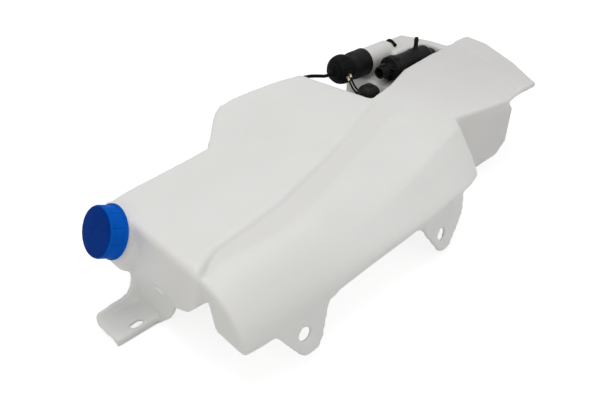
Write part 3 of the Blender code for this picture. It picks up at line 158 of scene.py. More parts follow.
# The raised lower edge of the lobe, which leaves the ears where they are
LIP_RISE = 0.0075
LIP_STARTS = (-0.265, -0.115)
LIP_ENDS = (-0.010, 0.080)
LIP_HEIGHTS = (0.050, 0.085)
LIP_DEPTHS = (0.100, 0.125)
LIP_FAR_X = 0.095
EAR_SPANS = [(-0.290, -0.192), (-0.052, 0.034)]
EAR_FADE = 0.010
EAR_DEPTHS = (0.1460, 0.1520)
EAR_HEIGHTS = (0.047, 0.053)

# The bolder far corners of the lobe and the box, and the edge of the flange
CORNER_OUT = (0.72, -0.69)
CORNER_CORE = 0.010
LOBE_PUSH = 0.0040
LOBE_REACH = 0.120
LOBE_HEIGHTS = (0.070, 0.100)
LOBE_NEAR_Y = -0.080
LOBE_FACE_DEPTHS = (0.150, 0.157)
BOX_PUSH = 0.0045
BOX_REACH = 0.065
BOX_HEIGHTS = (0.094, 0.100)
BOX_NEAR_X = 0.130
FLANGE_PUSH = 0.0045
FLANGE_OUT = (0.8, -0.6)
FLANGE_REACH = 0.035
FLANGE_FADE = (0.030, 0.066)
FLANGE_AREA = (0.225, 0.071, 0.098)

# The underside of the near corner, which climbs towards the front in two slopes
CORNER_FAR_X = -0.262
CORNER_FADE = (-0.292, -0.262)
CORNER_SPAN = (-0.110, -0.050)
CORNER_TOP_Z = 0.085
CORNER_DEPTHS = (0.050, 0.066)
CORNER_FLOOR_Z = 0.049
CORNER_SLOPES = ((-0.065, 0.55), (-0.084, 0.45))

# Fineness of the meshes
SEAM = 0.000005
SOLID_SEAM = 0.000002
VOXEL = 0.0021
SOFT_PASSES = 3
EVEN_PASSES = 7
MOST_FACES = 185000


# Shapes

def shown(name, data):
    """A new object in the scene."""
    obj = bpy.data.objects.new(name, data)
    bpy.context.scene.collection.objects.link(obj)
    return obj


def mesh_of(name, bm):
    """The shape as a mesh."""
    mesh = bpy.data.meshes.new(name)
    bm.to_mesh(mesh)
    bm.free()
    return mesh


def facing(point, direction):
    """The matrix that puts a piece drawn along Z at the point, along the direction."""
    return Matrix.Translation(point) @ Vector(direction).to_track_quat("Z", "Y").to_matrix().to_4x4()


def lathe(profile, sides=64):
    """A profile of (radius, height) spun about Z."""
    bm = bmesh.new()
    verts = [bm.verts.new((radius, 0, height)) for radius, height in profile]
    for a, b in zip(verts, verts[1:]):
        bm.edges.new((a, b))
    bmesh.ops.spin(bm, geom=bm.verts[:] + bm.edges[:], cent=(0, 0, 0), axis=(0, 0, 1), angle=math.tau,
                   steps=sides, use_merge=True)
    bmesh.ops.remove_doubles(bm, verts=bm.verts, dist=SEAM)
    bmesh.ops.holes_fill(bm, edges=bm.edges, sides=sides)
    return bm


def ring(profile, sides=64):
    """A closed profile of (radius, height) spun about Z."""
    return lathe(list(profile) + [profile[0]], sides)


def rounded(corners, steps=4):
    """A profile whose corners may name a radius as their third number."""
    points = []
    for i, corner in enumerate(corners):
        here = Vector(corner[:2])
        if len(corner) < 3 or i in (0, len(corners) - 1):
            points.append(tuple(here))
            continue
        before = Vector(corners[i - 1][:2]) - here
        after = Vector(corners[i + 1][:2]) - here
        half = before.angle(after) / 2
        reach = min(corner[2] / math.tan(half), 0.48 * before.length, 0.48 * after.length)
        start = here + before.normalized() * reach
        end = here + after.normalized() * reach
        for k in range(steps + 1):
            t = k / steps
            points.append(tuple((1 - t) ** 2 * start + 2 * t * (1 - t) * here + t * t * end))
    return points


def thread(radius, depth, low, turns):
    """A helical ridge on a wall of the radius, out for a positive depth and in for a negative one."""
    bm = bmesh.new()
    section = [(radius, 0.0), (radius + depth, 0.0006), (radius + depth, 0.0014), (radius, 0.0020)]
    verts = [bm.verts.new((r, 0, low + z)) for r, z in section]
    for i in range(4):
        bm.edges.new((verts[i], verts[(i + 1) % 4]))
    bmesh.ops.spin(bm, geom=bm.verts[:] + bm.edges[:], cent=(0, 0, 0), axis=(0, 0, 1),
                   dvec=(0, 0, THREAD_PITCH / THREAD_STEPS), angle=turns * math.tau,
                   steps=int(THREAD_STEPS * turns))
    bmesh.ops.holes_fill(bm, edges=bm.edges, sides=4)
    return bm


def smooth_route(points, spacing):
    """Points every so far along a smooth curve through the route."""
    fine = []
    for i in range(len(points) - 1):
        a = Vector(points[max(0, i - 1)])
        b = Vector(points[i])
        c = Vector(points[i + 1])
        d = Vector(points[min(len(points) - 1, i + 2)])
        for k in range(12):
            t = k / 12
            fine.append(0.5 * (2 * b + (c - a) * t + (2 * a - 5 * b + 4 * c - d) * t ** 2
                               + (3 * b - a - 3 * c + d) * t ** 3))
    fine.append(Vector(points[-1]))
    kept = [fine[0]]
    run = 0.0
    for before, here in zip(fine, fine[1:]):
        run += (here - before).length
        if run >= spacing:
            kept.append(here)
            run = 0.0
    if (kept[-1] - fine[-1]).length < spacing / 2:
        kept.pop()
    return kept + [fine[-1]]


def line_curve(name, points, radius):
    curve = bpy.data.curves.new(name, "CURVE")
    curve.dimensions = "3D"
    curve.bevel_depth = radius
    curve.bevel_resolution = 4
    curve.use_fill_caps = True
    line = curve.splines.new("POLY")
    line.points.add(len(points) - 1)
    for slot, point in zip(line.points, points):
        slot.co = (*point, 1.0)
    line.use_smooth = True
    return shown(name, curve)


def tube(name, points, radius):
    """A round tube along the points, as a mesh."""
    mesh = applied(line_curve(name, points, radius))
    bm = bmesh.new()
    bm.from_mesh(mesh)
    bpy.data.meshes.remove(mesh)
    bmesh.ops.remove_doubles(bm, verts=bm.verts, dist=0.00001)
    return bm


def grooved(bm, count, width, depth, low, high, turn=0.0):
    """Presses narrow grooves along the axis into the round wall between two heights."""
    for vert in bm.verts:
        if low < vert.co.z < high:
            share = (math.atan2(vert.co.y, vert.co.x) + turn) * count / math.tau
            away = abs(share - round(share)) / count * math.tau
            press = max(0.0, 1 - away / width)
            radius = math.hypot(vert.co.x, vert.co.y)
            keep = 1 - depth * press / radius if radius > depth else 1.0
            vert.co.x *= keep
            vert.co.y *= keep
    return bm


def bar(size, centre, bevel=0.0):
    bm = bmesh.new()
    bmesh.ops.create_cube(bm, size=1.0)
    bmesh.ops.scale(bm, vec=size, verts=bm.verts)
    bmesh.ops.translate(bm, vec=centre, verts=bm.verts)
    if bevel:
        bmesh.ops.bevel(bm, geom=bm.edges[:], offset=bevel, offset_type="OFFSET", affect="EDGES", segments=3,
                        profile=0.5, material=-1)
    return bm


def placed(bm, place):
    bmesh.ops.transform(bm, matrix=place, verts=bm.verts)
    return bm


def joined(parts):
    """Several shapes in one mesh."""
    whole = bmesh.new()
    for part in parts:
        mesh = bpy.data.meshes.new("part")
        part.to_mesh(mesh)
        part.free()
        whole.from_mesh(mesh)
        bpy.data.meshes.remove(mesh)
    return whole


def piece(name, bm, slot, stands_for=(), place=None, body="reservoir", sharp=32):
    """Makes the object, with its place in its mesh, and lets it ride on the body."""
    if place is not None:
        placed(bm, place)
    bmesh.ops.recalc_face_normals(bm, faces=bm.faces)
    mesh = mesh_of(name, bm)
    mesh.shade_smooth()
    mesh.set_sharp_from_angle(angle=math.radians(sharp))
    mesh.materials.append(FINISHES[slot])
    obj = shown(name, mesh)
    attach(obj, body)
    if stands_for:
        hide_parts(*stands_for)
    return obj


def applied(obj):
    """The object's mesh with its modifiers applied, as a new mesh."""
    graph = bpy.context.evaluated_depsgraph_get()
    mesh = bpy.data.meshes.new_from_object(obj.evaluated_get(graph))
    bpy.data.objects.remove(obj, do_unlink=True)
    return mesh


def scratch(name, shape):
    """A helper object, from a mesh or a shape, that is gone before the end."""
    if isinstance(shape, bmesh.types.BMesh):
        bmesh.ops.recalc_face_normals(shape, faces=shape.faces)
        shape = mesh_of(name, shape)
    return shown(name, shape)


def combine(obj, others, operation):
    """Joins the helpers to the object, or cuts them from it, and removes them."""
    for other in others:
        step = obj.modifiers.new(other.name, "BOOLEAN")
        step.operation = operation
        step.object = other
        step.solver = "EXACT"
    graph = bpy.context.evaluated_depsgraph_get()
    mesh = bpy.data.meshes.new_from_object(obj.evaluated_get(graph))
    obj.modifiers.clear()
    obj.data = mesh
    for other in others:
        bpy.data.objects.remove(other, do_unlink=True)
    return obj


def shape_of(obj):
    """The shape of a helper, which is gone after it."""
    bm = bmesh.new()
    bm.from_mesh(obj.data)
    bpy.data.objects.remove(obj, do_unlink=True)
    return bm


# Finishes

NOISE_SPAN = (0.3, 0.7)
# The cap's blue with painted light and shade: lighter on the side wall, darker on the top, and the heights
# where one changes to the other
CAP_LIT_SIDE_BLUE = (0.003, 0.102, 0.53)
CAP_SHADED_TOP_BLUE = (0.002, 0.036, 0.24)
CAP_LIT_TO_SHADED = (CAP_HEIGHT - 0.0006, CAP_HEIGHT - 0.0001)

# Painted shade on the tank: the direction, where along it the painted shade starts and is whole, and its
# colour
# Towards the far end the top is painted darker, where the light falls off.
FAR_END_PAINTED_SHADE = (Vector((1.0, 0.15, 0.25)), 0.020, 0.330, (0.865, 0.850, 0.856))
# Towards the leg's foot and the lower near end the colour is painted darker, as shade.
LEG_PAINTED_SHADE = (Vector((-1.0, 0.0, -1.0)), 0.280, 0.325, (0.915, 0.920, 0.910))
# Painted shade in the sunken band between the creases on top, and the foot and span of the curves that trace
# the creases.
BAND_PAINTED_SHADE = (0.968, 0.964, 0.952)
BAND_LINES = (-0.12, 0.20)


def add(tree, kind, **inputs):
    """A new node with its inputs set."""
    made = tree.nodes.new(kind)
    for socket, value in inputs.items():
        made.inputs[socket.replace("_", " ")].default_value = value
    return made


def shader_of(made):
    return made.node_tree.nodes["Principled BSDF"]


def finish(name, colour, roughness, **sockets):
    """A Principled material."""
    made = bpy.data.materials.new(name)
    made.use_nodes = True
    shader = shader_of(made)
    shader.inputs["Base Color"].default_value = (*colour, 1.0)
    shader.inputs["Roughness"].default_value = roughness
    for socket, value in sockets.items():
        shader.inputs[socket.replace("_", " ")].default_value = value
    made.diffuse_color = (*colour, 1.0)
    return made


def pattern(made, scale, detail=3.0, stretch=(1, 1, 1)):
    """Noise on the piece's own coordinates."""
    tree = made.node_tree
    where = add(tree, "ShaderNodeTexCoord")
    turn = add(tree, "ShaderNodeMapping", Scale=stretch)
    noise = add(tree, "ShaderNodeTexNoise", Scale=scale, Detail=detail, Roughness=0.5)
    tree.links.new(where.outputs["Object"], turn.inputs["Vector"])
    tree.links.new(turn.outputs["Vector"], noise.inputs["Vector"])
    return noise


def vary_colour(made, noise, dark, light):
    """Mixes two colours by the noise."""
    tree = made.node_tree
    ramp = add(tree, "ShaderNodeValToRGB")
    ramp.color_ramp.elements[0].position = NOISE_SPAN[0]
    ramp.color_ramp.elements[0].color = (*dark, 1.0)
    ramp.color_ramp.elements[1].position = NOISE_SPAN[1]
    ramp.color_ramp.elements[1].color = (*light, 1.0)
    tree.links.new(noise.outputs["Fac"], ramp.inputs["Fac"])
    tree.links.new(ramp.outputs["Color"], shader_of(made).inputs["Base Color"])


def tint(made, share, colour):
    """Multiplies the material's colour by another one as far as the share goes."""
    tree = made.node_tree
    blend = add(tree, "ShaderNodeMix")
    blend.data_type = "RGBA"
    blend.blend_type = "MULTIPLY"
    blend.inputs["B"].default_value = (*colour, 1.0)
    base = shader_of(made).inputs["Base Color"]
    before = base.links[0].from_socket
    tree.links.new(share, blend.inputs["Factor"])
    tree.links.new(before, blend.inputs["A"])
    tree.links.new(blend.outputs["Result"], base)


def share_along(made, direction, start, end, change="SMOOTHSTEP"):
    """0 to 1 between two places along a direction, on the piece's own coordinates, as a socket."""
    tree = made.node_tree
    where = add(tree, "ShaderNodeTexCoord")
    place = add(tree, "ShaderNodeVectorMath")
    place.operation = "DOT_PRODUCT"
    place.inputs[1].default_value = direction
    span = add(tree, "ShaderNodeMapRange", From_Min=start, From_Max=end)
    span.interpolation_type = change
    tree.links.new(where.outputs["Object"], place.inputs[0])
    tree.links.new(place.outputs["Value"], span.inputs["Value"])
    return span.outputs["Result"]


def paint_shade_along(made, direction, start, end, colour):
    tint(made, share_along(made, direction, start, end), colour)


def line_over(tree, where, points, foot, span):
    """The height of a line through the points over the X coordinate, as a socket."""
    reach = points[-1][0] - points[0][0]
    share = add(tree, "ShaderNodeMapRange", From_Min=points[0][0], From_Max=points[-1][0])
    curve = add(tree, "ShaderNodeFloatCurve")
    line = curve.mapping.curves[0]
    dots = [((x - points[0][0]) / reach, (y - foot) / span) for x, y in points]
    line.points[0].location = dots[0]
    line.points[1].location = dots[-1]
    for dot in dots[1:-1]:
        line.points.new(*dot)
    curve.mapping.update()
    back = add(tree, "ShaderNodeMapRange", To_Min=foot, To_Max=foot + span)
    tree.links.new(where.outputs["X"], share.inputs["Value"])
    tree.links.new(share.outputs["Result"], curve.inputs["Value"])
    tree.links.new(curve.outputs["Value"], back.inputs["Value"])
    return back.outputs["Result"]


def soft_step(tree, value, line, start, end):
    """0 to 1 as the value goes from one distance off the line to the other; without a line, off zero."""
    away = add(tree, "ShaderNodeMath")
    away.operation = "SUBTRACT"
    step = add(tree, "ShaderNodeMapRange", From_Min=start, From_Max=end)
    step.interpolation_type = "SMOOTHSTEP"
    tree.links.new(value, away.inputs[0])
    if line is None:
        away.inputs[1].default_value = 0.0
    else:
        tree.links.new(line, away.inputs[1])
    tree.links.new(away.outputs[0], step.inputs["Value"])
    return step.outputs["Result"]


def paint_band_shade(made, colour):
    """Paints shade into the sunken band between the two creases on top of the tank."""
    tree = made.node_tree
    spot = add(tree, "ShaderNodeTexCoord")
    where = add(tree, "ShaderNodeSeparateXYZ")
    tree.links.new(spot.outputs["Object"], where.inputs["Vector"])
    upper = line_over(tree, where, CREASE_UPPER, *BAND_LINES)
    lower = line_over(tree, where, CREASE_LOWER, *BAND_LINES)
    shares = [soft_step(tree, where.outputs["Y"], upper, 0.003, -0.001),
              soft_step(tree, where.outputs["Y"], lower, -0.001, 0.008),
              soft_step(tree, where.outputs["Z"], None, 0.090, 0.098),
              soft_step(tree, where.outputs["X"], None, 0.100, 0.040)]
    share = shares[0]
    for other in shares[1:]:
        both = add(tree, "ShaderNodeMath")
        both.operation = "MULTIPLY"
        tree.links.new(share, both.inputs[0])
        tree.links.new(other, both.inputs[1])
        share = both.outputs[0]
    tint(made, share, colour)


def vary_roughness(made, noise, low, high):
    tree = made.node_tree
    span = add(tree, "ShaderNodeMapRange", From_Min=0.3, From_Max=0.7, To_Min=low, To_Max=high)
    tree.links.new(noise.outputs["Fac"], span.inputs["Value"])
    tree.links.new(span.outputs["Result"], shader_of(made).inputs["Roughness"])


def vary_height(made, noise, strength, distance):
    tree = made.node_tree
    bump = add(tree, "ShaderNodeBump", Strength=strength, Distance=distance)
    normal = shader_of(made).inputs["Normal"]
    if normal.is_linked:
        tree.links.new(normal.links[0].from_socket, bump.inputs["Normal"])
    tree.links.new(noise.outputs["Fac"], bump.inputs["Height"])
    tree.links.new(bump.outputs["Normal"], normal)


def natural_white():
    """The tank's natural polyethylene: a milky white that light gets a little way into, with a satin skin,
    and painted shade towards the far end, at the leg and in the band between the creases.
    """
    made = finish("natural_white", (0.79, 0.79, 0.765), 0.42, Subsurface_Weight=0.35, Subsurface_Scale=0.012,
                  Subsurface_Radius=(1.0, 0.92, 0.80), Specular_IOR_Level=0.35)
    vary_colour(made, pattern(made, 9.0, 2.0), (0.775, 0.775, 0.755), (0.805, 0.803, 0.785))
    paint_shade_along(made, *FAR_END_PAINTED_SHADE)
    paint_shade_along(made, *LEG_PAINTED_SHADE)
    paint_band_shade(made, BAND_PAINTED_SHADE)
    vary_roughness(made, pattern(made, 40.0, 3.0), 0.38, 0.50)
    vary_height(made, pattern(made, 26.0, 2.0), 0.25, 0.0012)
    vary_height(made, pattern(made, 900.0, 2.0), 0.12, 0.0002)
    return made


def cap_blue():
    """Blue with painted light and shade: a lighter blue painted on the side wall, where light comes through
    the thin plastic, and a deeper blue painted on the thick top as shade.
    """
    made = finish("cap_blue", CAP_LIT_SIDE_BLUE, 0.34, IOR=1.06)
    tree = made.node_tree
    base = shader_of(made).inputs["Base Color"]
    noise = pattern(made, 60.0, 2.0)
    ramps = []
    for colour in (CAP_LIT_SIDE_BLUE, CAP_SHADED_TOP_BLUE):
        vary_colour(made, noise, tuple(0.90 * c for c in colour), tuple(1.08 * c for c in colour))
        ramps.append(base.links[0].from_socket)
    blend = add(tree, "ShaderNodeMix")
    blend.data_type = "RGBA"
    foot = NECK_CENTRE.dot(NECK_AXIS)
    share = share_along(made, NECK_AXIS, foot + CAP_LIT_TO_SHADED[0], foot + CAP_LIT_TO_SHADED[1], "LINEAR")
    tree.links.new(share, blend.inputs["Factor"])
    tree.links.new(ramps[0], blend.inputs["A"])
    tree.links.new(ramps[1], blend.inputs["B"])
    tree.links.new(blend.outputs["Result"], base)
    vary_roughness(made, pattern(made, 220.0, 3.0), 0.30, 0.42)
    vary_height(made, pattern(made, 1600.0, 2.0), 0.10, 0.0001)
    return made


def moulded_black():
    made = finish("moulded_black", (0.0085, 0.0090, 0.0088), 0.45, IOR=1.25)
    vary_colour(made, pattern(made, 70.0, 3.0), (0.0065, 0.0070, 0.0068), (0.0110, 0.0116, 0.0113))
    vary_roughness(made, pattern(made, 260.0, 3.0), 0.40, 0.58)
    vary_height(made, pattern(made, 1500.0, 3.0), 0.18, 0.0001)
    return made


def soft_black():
    made = finish("soft_black", (0.0070, 0.0074, 0.0072), 0.62, IOR=1.16)
    vary_colour(made, pattern(made, 90.0, 3.0), (0.0052, 0.0056, 0.0054), (0.0090, 0.0095, 0.0092))
    vary_roughness(made, pattern(made, 300.0, 3.0), 0.52, 0.74)
    vary_height(made, pattern(made, 1100.0, 3.0), 0.22, 0.0001)
    return made


def metal(name, colour, roughness):
    made = finish(name, colour, roughness, Metallic=1.0)
    vary_roughness(made, pattern(made, 300.0, 3.0, (1, 1, 8)), roughness - 0.08, roughness + 0.10)
    return made


def dull(name, colour, roughness):
    made = finish(name, colour, roughness)
    dark, light = (tuple(share * c for c in colour) for share in (0.8, 1.2))
    vary_colour(made, pattern(made, 400.0, 3.0), dark, light)
    vary_roughness(made, pattern(made, 400.0, 3.0), roughness - 0.08, roughness + 0.08)
    return made


def capsule_glass():
    made = finish("capsule_glass", (0.85, 0.90, 0.89), 0.08, Transmission_Weight=0.85, IOR=1.5)
    vary_roughness(made, pattern(made, 200.0, 2.0), 0.05, 0.12)
    return made


FINISHES = {
    "white_plastic": natural_white(),
    "blue_plastic": cap_blue(),
    "black_plastic": moulded_black(),
    "black_rubber": soft_black(),
    "steel": metal("plain_steel", (0.58, 0.58, 0.60), 0.32),
    "copper": metal("plain_copper", (0.70, 0.32, 0.17), 0.34),
    "brass": metal("plain_brass", (0.86, 0.78, 0.58), 0.42),
    "ferrite": dull("ferrite_grey", (0.045, 0.045, 0.050), 0.65),
    "carbon": dull("carbon_grey", (0.030, 0.030, 0.032), 0.55),
    "glass": capsule_glass(),
}


def finish_nodes():
    """Gives every solid that stays in view its finish."""
    slots = {entry["node"]: entry["material_slot"] for entry in frame["record"]["subparts"]}
    for name, node in nodes.items():
        node.data.materials.clear()
        node.data.materials.append(FINISHES[slots[name]])


# Camera, floor and light

CAMERA_PLACE = (-0.504, -0.432, 0.4536)
CAMERA_RIGHT = Vector((0.719, -0.695, 0.0))
CAMERA_UP = Vector((0.398, 0.413, 0.819))
CAMERA_BACK = Vector((-0.569, -0.589, 0.574))
CAMERA_SENSOR = 36.0
CAMERA_LENS = 36.0
FLOOR_RADIUS = 6.0
FLOOR_DROP = 0.0002
FLOOR_COLOUR = (0.66, 0.66, 0.65, 1.0)
FLOOR_SHADE = (0.36, 0.36, 0.36, 1.0)
FLOOR_GLOW = 0.80
SOFT_LIGHT = 0.52
WHITE_LIGHT = (1.0, 1.0, 1.0, 1.0)
MIDDLE = (0, 0, 0.05)
NEAR_END = (-0.2, 0, 0.05)


def make_camera():
    lens = bpy.data.cameras.new("camera")
    lens.sensor_width = CAMERA_SENSOR
    lens.lens = CAMERA_LENS
    camera = shown("camera", lens)
    turn = Matrix([axis.normalized() for axis in (CAMERA_RIGHT, CAMERA_UP, CAMERA_BACK)]).transposed()
    camera.matrix_world = Matrix.Translation(CAMERA_PLACE) @ turn.to_4x4()
    bpy.context.scene.camera = camera


def seen_by_camera(tree):
    """1 for what the camera sees straight, in a mirror or through glass."""
    path = add(tree, "ShaderNodeLightPath")
    share = path.outputs["Is Camera Ray"]
    for ray in ("Is Glossy Ray", "Is Transmission Ray"):
        either = add(tree, "ShaderNodeMath")
        either.operation = "MAXIMUM"
        tree.links.new(share, either.inputs[0])
        tree.links.new(path.outputs[ray], either.inputs[1])
        share = either.outputs[0]
    return share


def make_floor():
    """A pale floor that the camera sees as white, with a faint shadow of the object."""
    bm = bmesh.new()
    bmesh.ops.create_circle(bm, cap_ends=True, segments=64, radius=FLOOR_RADIUS)
    bmesh.ops.translate(bm, vec=(0, 0, -FLOOR_DROP), verts=bm.verts)
    floor = shown("floor", mesh_of("floor", bm))
    pale = bpy.data.materials.new("pale_floor")
    pale.use_nodes = True
    tree = pale.node_tree
    tree.nodes.clear()
    end = add(tree, "ShaderNodeOutputMaterial")
    plain = add(tree, "ShaderNodeBsdfDiffuse", Color=FLOOR_COLOUR)
    white = add(tree, "ShaderNodeEmission", Color=WHITE_LIGHT, Strength=FLOOR_GLOW)
    shade = add(tree, "ShaderNodeBsdfDiffuse", Color=FLOOR_SHADE)
    glow = add(tree, "ShaderNodeAddShader")
    choice = add(tree, "ShaderNodeMixShader")
    tree.links.new(white.outputs[0], glow.inputs[0])
    tree.links.new(shade.outputs[0], glow.inputs[1])
    tree.links.new(seen_by_camera(tree), choice.inputs[0])
    tree.links.new(plain.outputs[0], choice.inputs[1])
    tree.links.new(glow.outputs[0], choice.inputs[2])
    tree.links.new(choice.outputs[0], end.inputs["Surface"])
    floor.data.materials.append(pale)


def make_world():
    """A soft light from all round, which the camera sees as plain white."""
    world = bpy.data.worlds.new("studio")
    bpy.context.scene.world = world
    world.use_nodes = True
    tree = world.node_tree
    tree.nodes.clear()
    end = add(tree, "ShaderNodeOutputWorld")
    soft = add(tree, "ShaderNodeBackground", Color=WHITE_LIGHT, Strength=SOFT_LIGHT)
    white = add(tree, "ShaderNodeBackground", Color=WHITE_LIGHT, Strength=1.0)
    path = add(tree, "ShaderNodeLightPath")
    choice = add(tree, "ShaderNodeMixShader")
    tree.links.new(path.outputs["Is Camera Ray"], choice.inputs[0])
    tree.links.new(soft.outputs[0], choice.inputs[1])
    tree.links.new(white.outputs[0], choice.inputs[2])
    tree.links.new(choice.outputs[0], end.inputs["Surface"])


def lamp(name, place, target, size, power, colour=(1, 1, 1)):
    light = bpy.data.lights.new(name, "AREA")
    light.shape = "DISK"
    light.size = size
    light.energy = power
    light.color = colour
    shown(name, light).matrix_world = facing(place, Vector(place) - Vector(target))


def make_light():
    lamp("top_light", (0.1, 0.3, 2.2), MIDDLE, size=1.8, power=17.0)
    lamp("front_light", (-0.8, -1.8, 1.7), MIDDLE, size=1.2, power=6.5)
    lamp("near_light", (-2.1, 0.0, 0.8), NEAR_END, size=1.0, power=2.3, colour=(1.0, 0.92, 0.82))


# The tank

def round_helper(name, radius, low, high, place, sides=48):
    """A round helper between two heights, which plugs an opening or cuts a hole."""
    return scratch(name, placed(lathe([(0, low), (radius, low), (radius, high), (0, high)], sides), place))


def outside_of_tank():
    """The tank's solid with its openings closed, without the walls of its hollow."""
    bm = bmesh.new()
    bm.from_mesh(nodes["tank"].data)
    bmesh.ops.remove_doubles(bm, verts=bm.verts, dist=SOLID_SEAM)
    obj = scratch("tank_outside", bm)
    rim = facing(NECK_CENTRE, NECK_AXIS)
    pump_1_hole = facing(PUMP_1_SEAT, (1, 0, 0))
    pump_2_hole = facing(PUMP_2_SEAT - Vector((0, 0, NOZZLE_DROP)), (1, 0, 0))
    sensor_hole = facing((SENSOR_AXIS.x, SENSOR_AXIS.y, BAY_FLOOR_Z), (0, 0, 1))
    plugs = [round_helper("plug", NECK_BORE + 0.001, -0.012, NECK_LENGTH - 0.0001, rim),
             round_helper("plug", GROMMET_HOLE, 0.0002, 0.0028, pump_1_hole),
             round_helper("plug", GROMMET_HOLE, 0.0002, 0.0028, pump_2_hole),
             round_helper("plug", GROMMET_HOLE, -0.0028, -0.0002, sensor_hole),
             round_helper("plug", VENT_HOLE, -0.0032, -0.0006, facing(VENT_FOOT, (0, 0, 1)))]
    combine(obj, plugs + [scratch("collar", collar())], "UNION")
    bm = shape_of(obj)
    bmesh.ops.remove_doubles(bm, verts=bm.verts, dist=SOLID_SEAM)
    keep_largest_shell(bm)
    return shown("tank_outside", mesh_of("tank_outside", bm))


def keep_largest_shell(bm):
    """Deletes every shell but the one that spans the most."""
    left = set(bm.faces)
    shells = []
    while left:
        seed = left.pop()
        shell = {seed}
        edge = [seed]
        while edge:
            face = edge.pop()
            for side in face.edges:
                for other in side.link_faces:
                    if other not in shell:
                        shell.add(other)
                        edge.append(other)
        left -= shell
        xs = [v.co.x for f in shell for v in f.verts]
        shells.append((max(xs) - min(xs), shell))
    best = max(shells, key=lambda entry: entry[0])[1]
    bmesh.ops.delete(bm, geom=[f for f in bm.faces if f not in best], context="FACES")
    bmesh.ops.delete(bm, geom=[v for v in bm.verts if not v.link_faces], context="VERTS")


def thin_part(point):
    """True on the ears, the leg, the flange and the neck, which keep their thickness."""
    x, y, z = point
    past_box = FLANGE_ACROSS[0] * (x - BOX_X) + FLANGE_ACROSS[1] * (y - BOX_Y)
    on_ear = y < EAR_ROOT_Y and z < EAR_ROOT_Z
    on_flange = z > FLANGE_LOW_Z and x > FLANGE_NEAR_X and y < FLANGE_BACK_Y and past_box > -FLANGE_ROOM
    on_block = z > BLOCK_TOP_Z and x < BLOCK_FAR_X
    return on_ear or x < NEAR_WALL_X or on_flange or on_block


def ear_face(root, turn, along_root, down):
    """The place of a point on an ear, with X along its root, Y into the ear and Z up the ear."""
    line = Matrix.Translation((root, EAR_Y, EAR_TOP_Z)) @ Matrix.Rotation(turn, 4, "Z")
    return line @ Matrix.Rotation(-EAR_TILT, 4, "X") @ Matrix.Translation((along_root, 0, -down))


def hole_cutters():
    """The fixing holes, the slot and the bore of the neck, cut from the finished skin to stay crisp."""
    across = Matrix.Rotation(math.radians(90), 4, "X")
    cutters = []
    for spot in EAR_HOLES:
        place = ear_face(*spot) @ across
        cutters.append(round_helper("ear_hole", EAR_HOLE_RADIUS, -CUTTER_REACH, CUTTER_REACH, place, 40))
    cutters.append(scratch("slot", bar((SLOT_LENGTH, SLOT_WIDTH, 2 * SLOT_REACH), SLOT_CENTRE)))
    for side in (-1, 1):
        place = Matrix.Translation(SLOT_CENTRE + Vector((side * SLOT_LENGTH / 2, 0, 0)))
        cutters.append(round_helper("slot_end", SLOT_WIDTH / 2, -SLOT_REACH, SLOT_REACH, place, 32))
    rim = facing(NECK_CENTRE, NECK_AXIS)
    return cutters + [round_helper("bore", NECK_BORE, -NECK_DEPTH, CUTTER_REACH, rim, 72)]


def eased(x, start, end):
    """A smooth rise from 0 at the start to 1 at the end."""
    t = min(1.0, max(0.0, (x - start) / (end - start)))
    return t * t * (3 - 2 * t)


def along(points, x):
    """The height at x of the line through the points."""
    if x <= points[0][0]:
        return points[0][1]
    for (x0, y0), (x1, y1) in zip(points, points[1:]):
        if x <= x1:
            return y0 + (y1 - y0) * (x - x0) / (x1 - x0)
    return points[-1][1]


def fuller_back(x, y):
    """The Y of a point once the back edge is moved out to the fuller one."""
    back = along(BACK_EDGE, x)
    reach = NECK_REACH + (BACK_REACH - NECK_REACH) * eased(x, *REACH_GROWS)
    if x >= BAY_X or y <= back - reach:
        return y
    share = eased(y, back - reach, back) * eased(x, *BACK_FADE)
    return y + (along(FULL_BACK_EDGE, x) - back) * share


def stepped_band(x, y, z):
    """The Z of a point once the band between the creases is a step lower than the top."""
    upper = along(CREASE_UPPER, x)
    lower = along(CREASE_LOWER, x)
    if z <= BAND_FOOT_Z or not lower - SLOPE_REACH < y < upper + RIDGE_MIDDLE + RIDGE_HALF:
        return z
    here = eased(x, *BAND_STARTS) * (1 - eased(x, *BAND_ENDS))
    far = eased(x, *BAND_FALLS)
    band = TOP_Z - BAND_STEP * (1 - BAND_LESS_FAR * far)
    if y > upper:
        z += RIDGE_RISE * here * max(0.0, 1 - abs(y - upper - RIDGE_MIDDLE) / RIDGE_HALF)
        if y < upper + UPPER_REACH:
            goal = TOP_Z + (band - TOP_Z) * (1 - eased(y, upper + UPPER_STEP[0], upper + UPPER_STEP[1]))
            z += max(0.0, goal - z) * here
        return z
    if y > lower:
        return z + (band - z) * here
    crest = SLOPE_TOP_Z + SLOPE_RISE * far
    fade = 1 - (lower - y) / SLOPE_REACH
    return z + max(0.0, band - crest) * here * fade * fade * (3 - 2 * fade)


def ear_share(x, y, z):
    """1 on an ear and 0 on the lobe, with a soft change between them."""
    on_ear = max(eased(x, low - EAR_FADE, low) * (1 - eased(x, high, high + EAR_FADE))
                 for low, high in EAR_SPANS)
    return on_ear * eased(-y, *EAR_DEPTHS) * (1 - eased(z, *EAR_HEIGHTS))


def raised_lip(x, y, z):
    """The Z of a point once the lower edge of the lobe is raised between and behind the ears."""
    if y >= -LIP_DEPTHS[0] or z >= LIP_HEIGHTS[1] or x >= LIP_FAR_X:
        return z
    rise = LIP_RISE * eased(x, *LIP_STARTS) * (1 - eased(x, *LIP_ENDS))
    return z + rise * (1 - eased(z, *LIP_HEIGHTS)) * eased(-y, *LIP_DEPTHS) * (1 - ear_share(x, y, z))


def near_corner(x, y, corner, reach):
    """1 at an upright corner and 0 past its reach."""
    return 1 - eased((Vector((x, y)) - corner).length, CORNER_CORE, reach)


